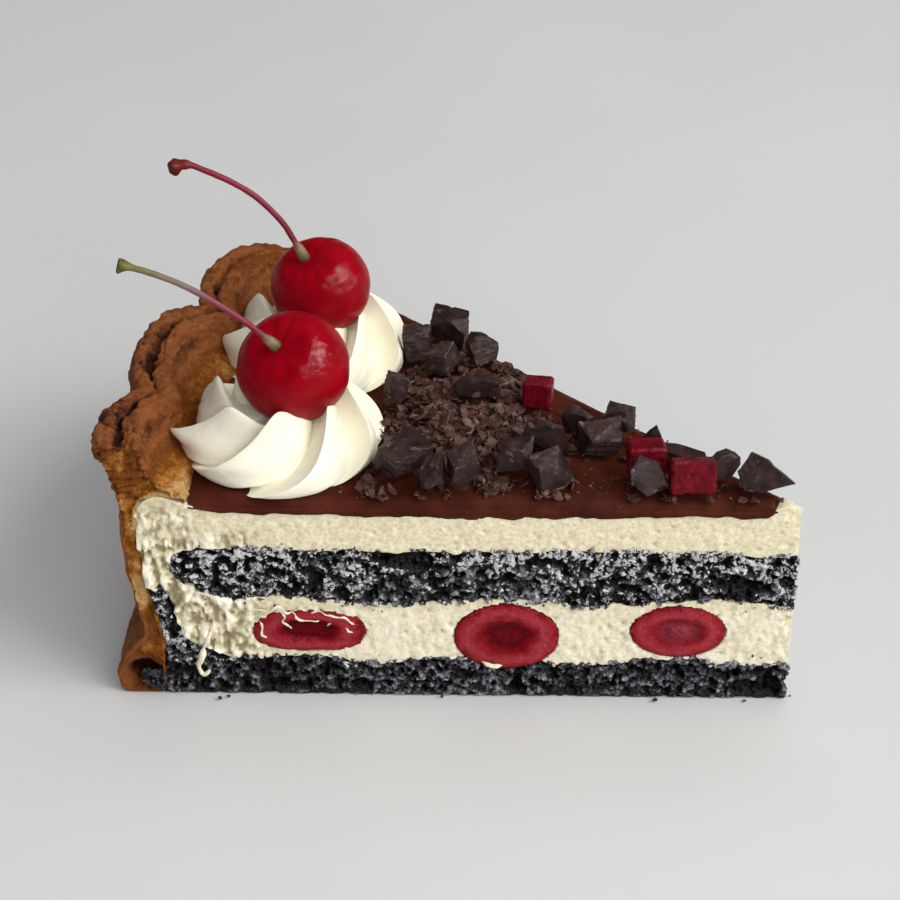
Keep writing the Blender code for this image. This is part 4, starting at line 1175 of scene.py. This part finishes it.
class Finish:
    """A material's node tree, built a node at a time. Lengths are in millimetres, colours as seen."""

    def __init__(self, name):
        self.material = bpy.data.materials.new(name)
        self.material.use_nodes = True
        self.tree = self.material.node_tree
        self.place = self.tree.nodes.new("ShaderNodeTexCoord").outputs["Object"]

    def add(self, kind, inputs=(), **settings):
        node = self.tree.nodes.new(kind)
        for key, value in settings.items():
            setattr(node, key, value)
        self.feed(node, dict(inputs))
        return node

    def feed(self, node, inputs):
        """Links or sets a node's inputs."""
        for key, value in inputs.items():
            if isinstance(value, bpy.types.NodeSocket):
                self.tree.links.new(value, node.inputs[key])
            else:
                node.inputs[key].default_value = value

    def noise(self, size, detail=3, rough=0.55, stretch=None):
        where = self.place
        if stretch:
            where = self.add("ShaderNodeMapping", {"Vector": where, "Scale": stretch}).outputs[0]
        inputs = {"Vector": where, "Scale": 1 / (size * MM), "Detail": detail, "Roughness": rough}
        return self.add("ShaderNodeTexNoise", inputs).outputs[0]

    def cells(self, size):
        """A scattered pattern: the distance to each cell's middle, and a random share for each cell."""
        return self.add("ShaderNodeTexVoronoi", {"Vector": self.place, "Scale": 1 / (size * MM)}).outputs

    def mask(self, name):
        return self.add("ShaderNodeAttribute", attribute_name=name).outputs["Fac"]

    def math(self, operation, *values):
        return self.add("ShaderNodeMath", enumerate(values), operation=operation).outputs[0]

    def varied(self, value, change, depth):
        """A value with another added, centred on its mean and scaled."""
        return self.math("ADD", value, self.around(change, depth))

    def around(self, value, depth):
        """A value centred on its mean and scaled."""
        return self.math("MULTIPLY", self.math("SUBTRACT", value, 0.5), depth)

    def range(self, value, low, high, to_low=0.0, to_high=1.0):
        inputs = {"Value": value, "From Min": low, "From Max": high, "To Min": to_low, "To Max": to_high}
        return self.add("ShaderNodeMapRange", inputs, interpolation_type="SMOOTHSTEP").outputs[0]

    def ramp(self, value, *stops):
        """A colour for each value, from stops of a value with its red, green and blue."""
        node = self.add("ShaderNodeValToRGB", {"Fac": value})
        elements = node.color_ramp.elements
        while len(elements) < len(stops):
            elements.new(0.5)
        for element, (at, *colour) in zip(elements, stops):
            element.position = at
            element.color = seen(*colour)
        return node.outputs[0]

    def blend(self, share, first, second, weight=None):
        """The first colour turning into the second, and no further than the weight."""
        if weight:
            share = self.math("MULTIPLY", share, weight)
        if not isinstance(second, bpy.types.NodeSocket):
            second = seen(*second)
        return self.add("ShaderNodeMix", {0: share, 6: first, 7: second}, data_type="RGBA").outputs[2]

    def bump(self, height, depth, before=None):
        inputs = {"Height": height, "Distance": depth * MM, "Strength": 1.0}
        if before:
            inputs["Normal"] = before
        return self.add("ShaderNodeBump", inputs).outputs[0]

    def done(self, colour, roughness, specular=0.5, relief=None, glow=None, **others):
        """The finished material. Glow is how much light goes in, how far by colour, and its scale."""
        inputs = {"Base Color": colour, "Roughness": roughness, "Specular IOR Level": specular}
        if relief:
            inputs["Normal"] = relief
        if glow:
            inputs.update(zip(("Subsurface Weight", "Subsurface Radius", "Subsurface Scale"), glow))
        inputs.update({key.replace("_", " "): value for key, value in others.items()})
        self.feed(self.tree.nodes["Principled BSDF"], inputs)
        return self.material


def sponge_finish():
    """Nearly black crumb, painted shade in its pores and painted cool highlights on its tops, flecked with
    cream where the knife dragged it over.
    """
    f = Finish("dark_sponge_crumb")
    fine = f.noise(0.55, 6, 0.75)
    # Crumb colour by height: black in the pores as painted shade, pale grey-blue on the raised crumbs as
    # painted highlights.
    relief_shading = f.varied(f.mask("relief_shading"), fine, 1.1)
    crumb = f.ramp(relief_shading, (0.3, 4, 4, 5), (0.44, 26, 26, 30), (0.55, 70, 71, 78), (0.7, 140, 142, 150),
                   (0.86, 196, 198, 203))
    uneven = f.around(f.noise(0.5, 5, 0.75), 0.9)
    thick = f.math("MULTIPLY", f.math("ADD", f.mask("smear"), uneven), f.range(relief_shading, 0.2, 0.55))
    large = f.range(f.math("SUBTRACT", thick, f.cells(0.65)[1]), 0.0, 0.04)
    small = f.range(f.math("SUBTRACT", thick, f.cells(0.5)[1]), 0.03, 0.07)
    flecks = f.math("MAXIMUM", large, small)
    creamy = f.ramp(f.noise(0.7, 5, 0.75), (0.3, 150, 151, 155), (0.42, 240, 240, 236), (0.5, 255, 254, 250))
    relief = f.bump(f.cells(0.5)[0], 0.4, f.bump(fine, 0.9))
    return f.done(f.blend(flecks, crumb, creamy), f.range(uneven, -0.1, 0.1, 0.36, 0.7), 0.35,
                  f.bump(flecks, 0.2, relief))


def cream_finish():
    """Ivory cream, grainy where it is cut, whiter where it is fluffed up, with golden grains low down;
    painted shade in its torn hollows, and painted light on the cut cream low down.
    """
    f = Finish("ivory_cream")
    grain = f.noise(0.7, 6, 0.7)
    cut = f.ramp(grain, (0.3, 206, 190, 148), (0.46, 229, 218, 184), (0.62, 243, 236, 210))
    # The fluffed cream's colour by its height: painted shade in the hollows, the whitest tone on the raised
    # curds.
    torn = f.varied(f.mask("relief_shading"), grain, 0.9)
    white = f.ramp(torn, (0.22, 158, 146, 114), (0.42, 202, 191, 158), (0.62, 225, 215, 184),
                   (0.85, 247, 241, 221))
    colour = f.blend(f.mask("fluff"), cut, white)
    golden = f.range(f.varied(f.cells(0.6)[1], f.noise(6, 2), 1.0), 0.84, 0.98)
    colour = f.blend(golden, colour, (216, 186, 124), 0.4)
    colour = f.blend(f.mask("blush"), colour, (222, 184, 174), 0.5)
    return f.done(colour, 0.6, 0.15, f.bump(f.noise(0.6, 5, 0.7), 0.16), (0.35, CREAM_GLOW, MM))


def whipped_finish():
    """Smooth piped cream with a soft sheen."""
    f = Finish("piped_cream")
    tone = f.ramp(f.noise(6, 2), (0.3, 241, 236, 215), (0.7, 247, 243, 223))
    return f.done(tone, 0.5, 0.18, f.bump(f.noise(0.6, 4, 0.6), 0.1), (0.2, CREAM_GLOW, MM))


def ganache_finish():
    """Reddish dark chocolate with a satin skin."""
    f = Finish("satin_ganache")
    tone = f.ramp(f.noise(9, 5, 0.6), (0.3, 48, 19, 12), (0.7, 84, 38, 26))
    colour = f.blend(f.range(f.noise(0.8, 4), 0.62, 0.75), tone, (120, 66, 48), 0.3)
    relief = f.bump(f.noise(0.7, 4), 0.06, f.bump(f.noise(2.6, 3, 0.5), 0.14))
    return f.done(colour, f.range(f.noise(3, 4), 0.3, 0.7, 0.4, 0.56), 0.03, relief)


def chocolate_finish():
    """Dark chocolate: cool smooth faces, and drier, paler ones where it snapped."""
    f = Finish("broken_chocolate")
    tone = f.ramp(f.noise(2.4, 5, 0.6), (0.3, 26, 17, 16), (0.6, 56, 39, 39), (0.8, 98, 80, 80))
    dry = f.ramp(f.noise(0.7, 5, 0.65), (0.35, 34, 22, 19), (0.7, 86, 66, 60))
    colour = f.blend(f.mask("snapped"), tone, dry, 0.6)
    edge = f.range(f.add("ShaderNodeNewGeometry").outputs["Pointiness"], 0.53, 0.62)
    colour = f.blend(edge, colour, (128, 106, 98), 0.5)
    scratched = f.noise(0.5, 6, 0.65, stretch=(1, 1, 3))
    return f.done(colour, f.range(f.mask("snapped"), 0.0, 1.0, 0.34, 0.58), 0.2, f.bump(scratched, 0.12))


def shaving_finish():
    """The finer shavings are a warmer, drier brown."""
    f = Finish("chocolate_shaving")
    tone = f.ramp(f.noise(1.8, 4), (0.3, 48, 28, 22), (0.6, 86, 56, 46), (0.8, 138, 102, 90))
    streak = f.noise(0.35, 5, 0.6, stretch=(1, 3, 1))
    return f.done(tone, f.range(streak, 0.3, 0.7, 0.45, 0.65), 0.16, f.bump(streak, 0.08))


def pastry_finish():
    """Baked pastry from pale dough through gold to dark brown, blistered and flaky, with painted shade in the
    rim's crease and the foot's hollow.
    """
    f = Finish("baked_pastry")
    fine, speck = f.noise(1.3, 6, 0.7), f.noise(0.4, 5, 0.7)
    # Its mask holds the baking tone and the painted shade in the rim's crease and in the hollow under the
    # foot.
    bake_and_shade_tone = f.varied(f.varied(f.mask("bake_and_shade"), fine, 0.42), speck, 0.5)
    colour = f.ramp(bake_and_shade_tone, (0.0, 236, 192, 124), (0.2, 208, 136, 54), (0.34, 150, 82, 20),
                    (0.46, 138, 74, 22), (0.58, 180, 108, 58), (0.74, 160, 92, 48), (0.9, 98, 50, 24),
                    (1.0, 42, 20, 10))
    relief = f.bump(f.noise(1.1, 6, 0.7, stretch=(1, 1, 2)), 1.3)
    return f.done(colour, f.range(fine, 0.3, 0.7, 0.46, 0.7), 0.1, f.bump(speck, 0.6, relief))


def cherry_finish():
    """Syrup-glazed cherry: deep red, with light carried into its skin."""
    f = Finish("glazed_cherry")
    tone = f.ramp(f.noise(5, 3), (0.3, 126, 1, 15), (0.7, 150, 3, 22))
    crinkle = f.bump(f.noise(0.8, 2, 0.6), 0.3, f.bump(f.noise(2.2, 2, 0.5), 0.3))
    return f.done(tone, 0.35, 0.02, f.bump(f.noise(1.9, 2, 0.5), 0.08), (0.25, (1.0, 0.1, 0.1), 2 * MM),
                  Coat_Weight=0.22, Coat_IOR=1.45, Coat_Roughness=0.01, Coat_Normal=crinkle)


def flesh_finish():
    """Wet cherry flesh: a lighter, stippled ring round a dark hollow, and a dark skin."""
    f = Finish("cherry_flesh")
    reach = f.varied(f.mask("reach"), f.noise(1.3, 5, 0.65), 0.3)
    colour = f.ramp(reach, (0.16, 100, 4, 18), (0.36, 84, 2, 12), (0.52, 128, 10, 24), (0.74, 160, 52, 60),
                    (0.9, 146, 30, 42), (1.0, 116, 8, 22))
    seat = f.range(f.math("SUBTRACT", f.mask("stone"), f.mask("reach")), 0.0, 0.3)
    colour = f.blend(seat, colour, (132, 44, 54))
    stipple = f.range(f.cells(0.7)[0], 0.1, 0.34, 0.4, 0.0)
    colour = f.blend(stipple, colour, (178, 96, 102), f.range(reach, 0.5, 0.7))
    return f.done(colour, 0.36, 0.06, f.bump(f.noise(0.8, 5, 0.65), 0.3), (0.1, (1.0, 0.2, 0.15), MM))


def jelly_finish():
    """Firm crimson jelly with a dull, sugared skin."""
    f = Finish("crimson_jelly")
    tone = f.ramp(f.noise(1.6, 5, 0.65), (0.3, 72, 3, 14), (0.5, 96, 5, 23), (0.7, 126, 14, 34))
    return f.done(tone, 0.42, 0.12, f.bump(f.noise(0.6, 5, 0.6), 0.14), (0.15, (1.0, 0.15, 0.15), MM))


STEM_COLOURS = {  # along the stem, from the cherry to the picked end
    "front": ((0.0, 66, 56, 36), (0.1, 128, 116, 84), (0.16, 104, 52, 54),
              (0.24, 120, 22, 46), (0.45, 126, 58, 70), (0.6, 122, 104, 96),
              (0.8, 116, 108, 72), (0.93, 104, 98, 44), (1.0, 70, 64, 28)),
    "back": ((0.0, 70, 58, 40), (0.1, 134, 120, 90), (0.17, 110, 40, 44),
             (0.5, 126, 38, 56), (0.78, 122, 34, 44), (0.9, 104, 34, 28),
             (1.0, 70, 30, 22)),
}


def stem_finish(which):
    """Grey-green at the collar, then mauve-red, and olive or red-brown at the picked end."""
    f = Finish("stem_" + which)
    colour = f.ramp(f.varied(f.mask("along"), f.noise(1.5, 4), 0.08), *STEM_COLOURS[which])
    return f.done(colour, 0.45, 0.12, f.bump(f.noise(0.5, 4), 0.1))


def floor_finish():
    f = Finish("pale_floor")
    return f.done(f.ramp(f.noise(160, 2), (0.4, 204, 205, 205), (0.6, 207, 208, 208)), 0.6)


# ---------------------------------------------------------------- stage


def floor():
    bpy.ops.mesh.primitive_plane_add(size=FLOOR_SIZE, location=(0, 0, -FLOOR_DROP))
    plane = bpy.context.object
    plane.name = "floor"
    plane.data.materials.append(floor_finish())


def area_light(name, azimuth, elevation, distance, size, power, colour, mirrored):
    """A soft light aimed at the slice. Azimuth 0 is where the camera stands, 90 is to its right."""
    a, e = math.radians(azimuth), math.radians(elevation)
    way = Vector((math.sin(a) * math.cos(e), -math.cos(a) * math.cos(e), math.sin(e)))
    data = bpy.data.lights.new(name, "AREA")
    data.shape = "RECTANGLE"
    data.size, data.size_y = size
    data.energy = power
    data.color = colour
    light = bpy.data.objects.new(name, data)
    bpy.context.scene.collection.objects.link(light)
    light.location = LIGHTS_AIM + way * distance
    light.rotation_mode = "QUATERNION"
    light.rotation_quaternion = way.to_track_quat("Z", "Y")
    light.visible_glossy, light.visible_diffuse = mirrored, not mirrored


def lights():
    """One soft key from the right, weak fills, and the bright window that glossy things mirror."""
    for name, settings in LIGHTS.items():
        area_light(name, *settings)
    world = bpy.data.worlds.new("studio")
    world.use_nodes = True
    nodes, links = world.node_tree.nodes, world.node_tree.links
    room = nodes["Background"]
    room.inputs["Color"].default_value = ROOM_COLOUR
    dimmed = nodes.new("ShaderNodeMapRange")  # reflections see a darker room than the soft light does
    dimmed.inputs["To Min"].default_value = ROOM_STRENGTH
    dimmed.inputs["To Max"].default_value = MIRRORED_ROOM
    links.new(nodes.new("ShaderNodeLightPath").outputs["Is Glossy Ray"], dimmed.inputs["Value"])
    links.new(dimmed.outputs[0], room.inputs["Strength"])
    bpy.context.scene.world = world
    bpy.context.scene.view_settings.view_transform = "Standard"


def camera():
    data = bpy.data.cameras.new("camera")
    data.sensor_width = CAMERA_SENSOR
    data.lens = CAMERA_LENS
    data.clip_start, data.clip_end = 0.01, 20
    cam = bpy.data.objects.new("camera", data)
    bpy.context.scene.collection.objects.link(cam)
    forward, right = CAMERA_FORWARD.normalized(), CAMERA_RIGHT.normalized()
    turned = Matrix((right, right.cross(forward), -forward)).transposed().to_4x4()
    cam.matrix_world = Matrix.Translation(CAMERA_PLACE) @ turned
    bpy.context.scene.camera = cam


# ---------------------------------------------------------------- the scene


def main():
    crumb, chocolate, cherry_red = sponge_finish(), chocolate_finish(), cherry_finish()
    crust(pastry_finish())
    sponge("sponge_base_crumb", base_section, 201, crumb, "sponge_base", base_smear)
    sponge("sponge_middle_crumb", middle_section, 301, crumb, "sponge_middle", middle_smear)
    ivory = cream_finish()
    cream(ivory)
    strands(ivory)
    ganache(ganache_finish())
    whipped = whipped_finish()
    for which in ROSETTES:
        rosette(which, whipped)
        top_cherry(which, cherry_red)
        stem(which, stem_finish(which))
    flesh = flesh_finish()
    for which in FILLING_CHERRIES:
        filling_cherry(which, flesh)
    for number in CHUNKS:
        broken_chunk(number, chocolate)
    jelly = jelly_finish()
    for which in JELLY:
        jelly_square(which, jelly)
    shaved = shaving_finish()
    heap_core(shaved)
    shavings(shaved)
    bits(chocolate)
    crumbs(crumb)
    floor()
    lights()
    camera()


main()
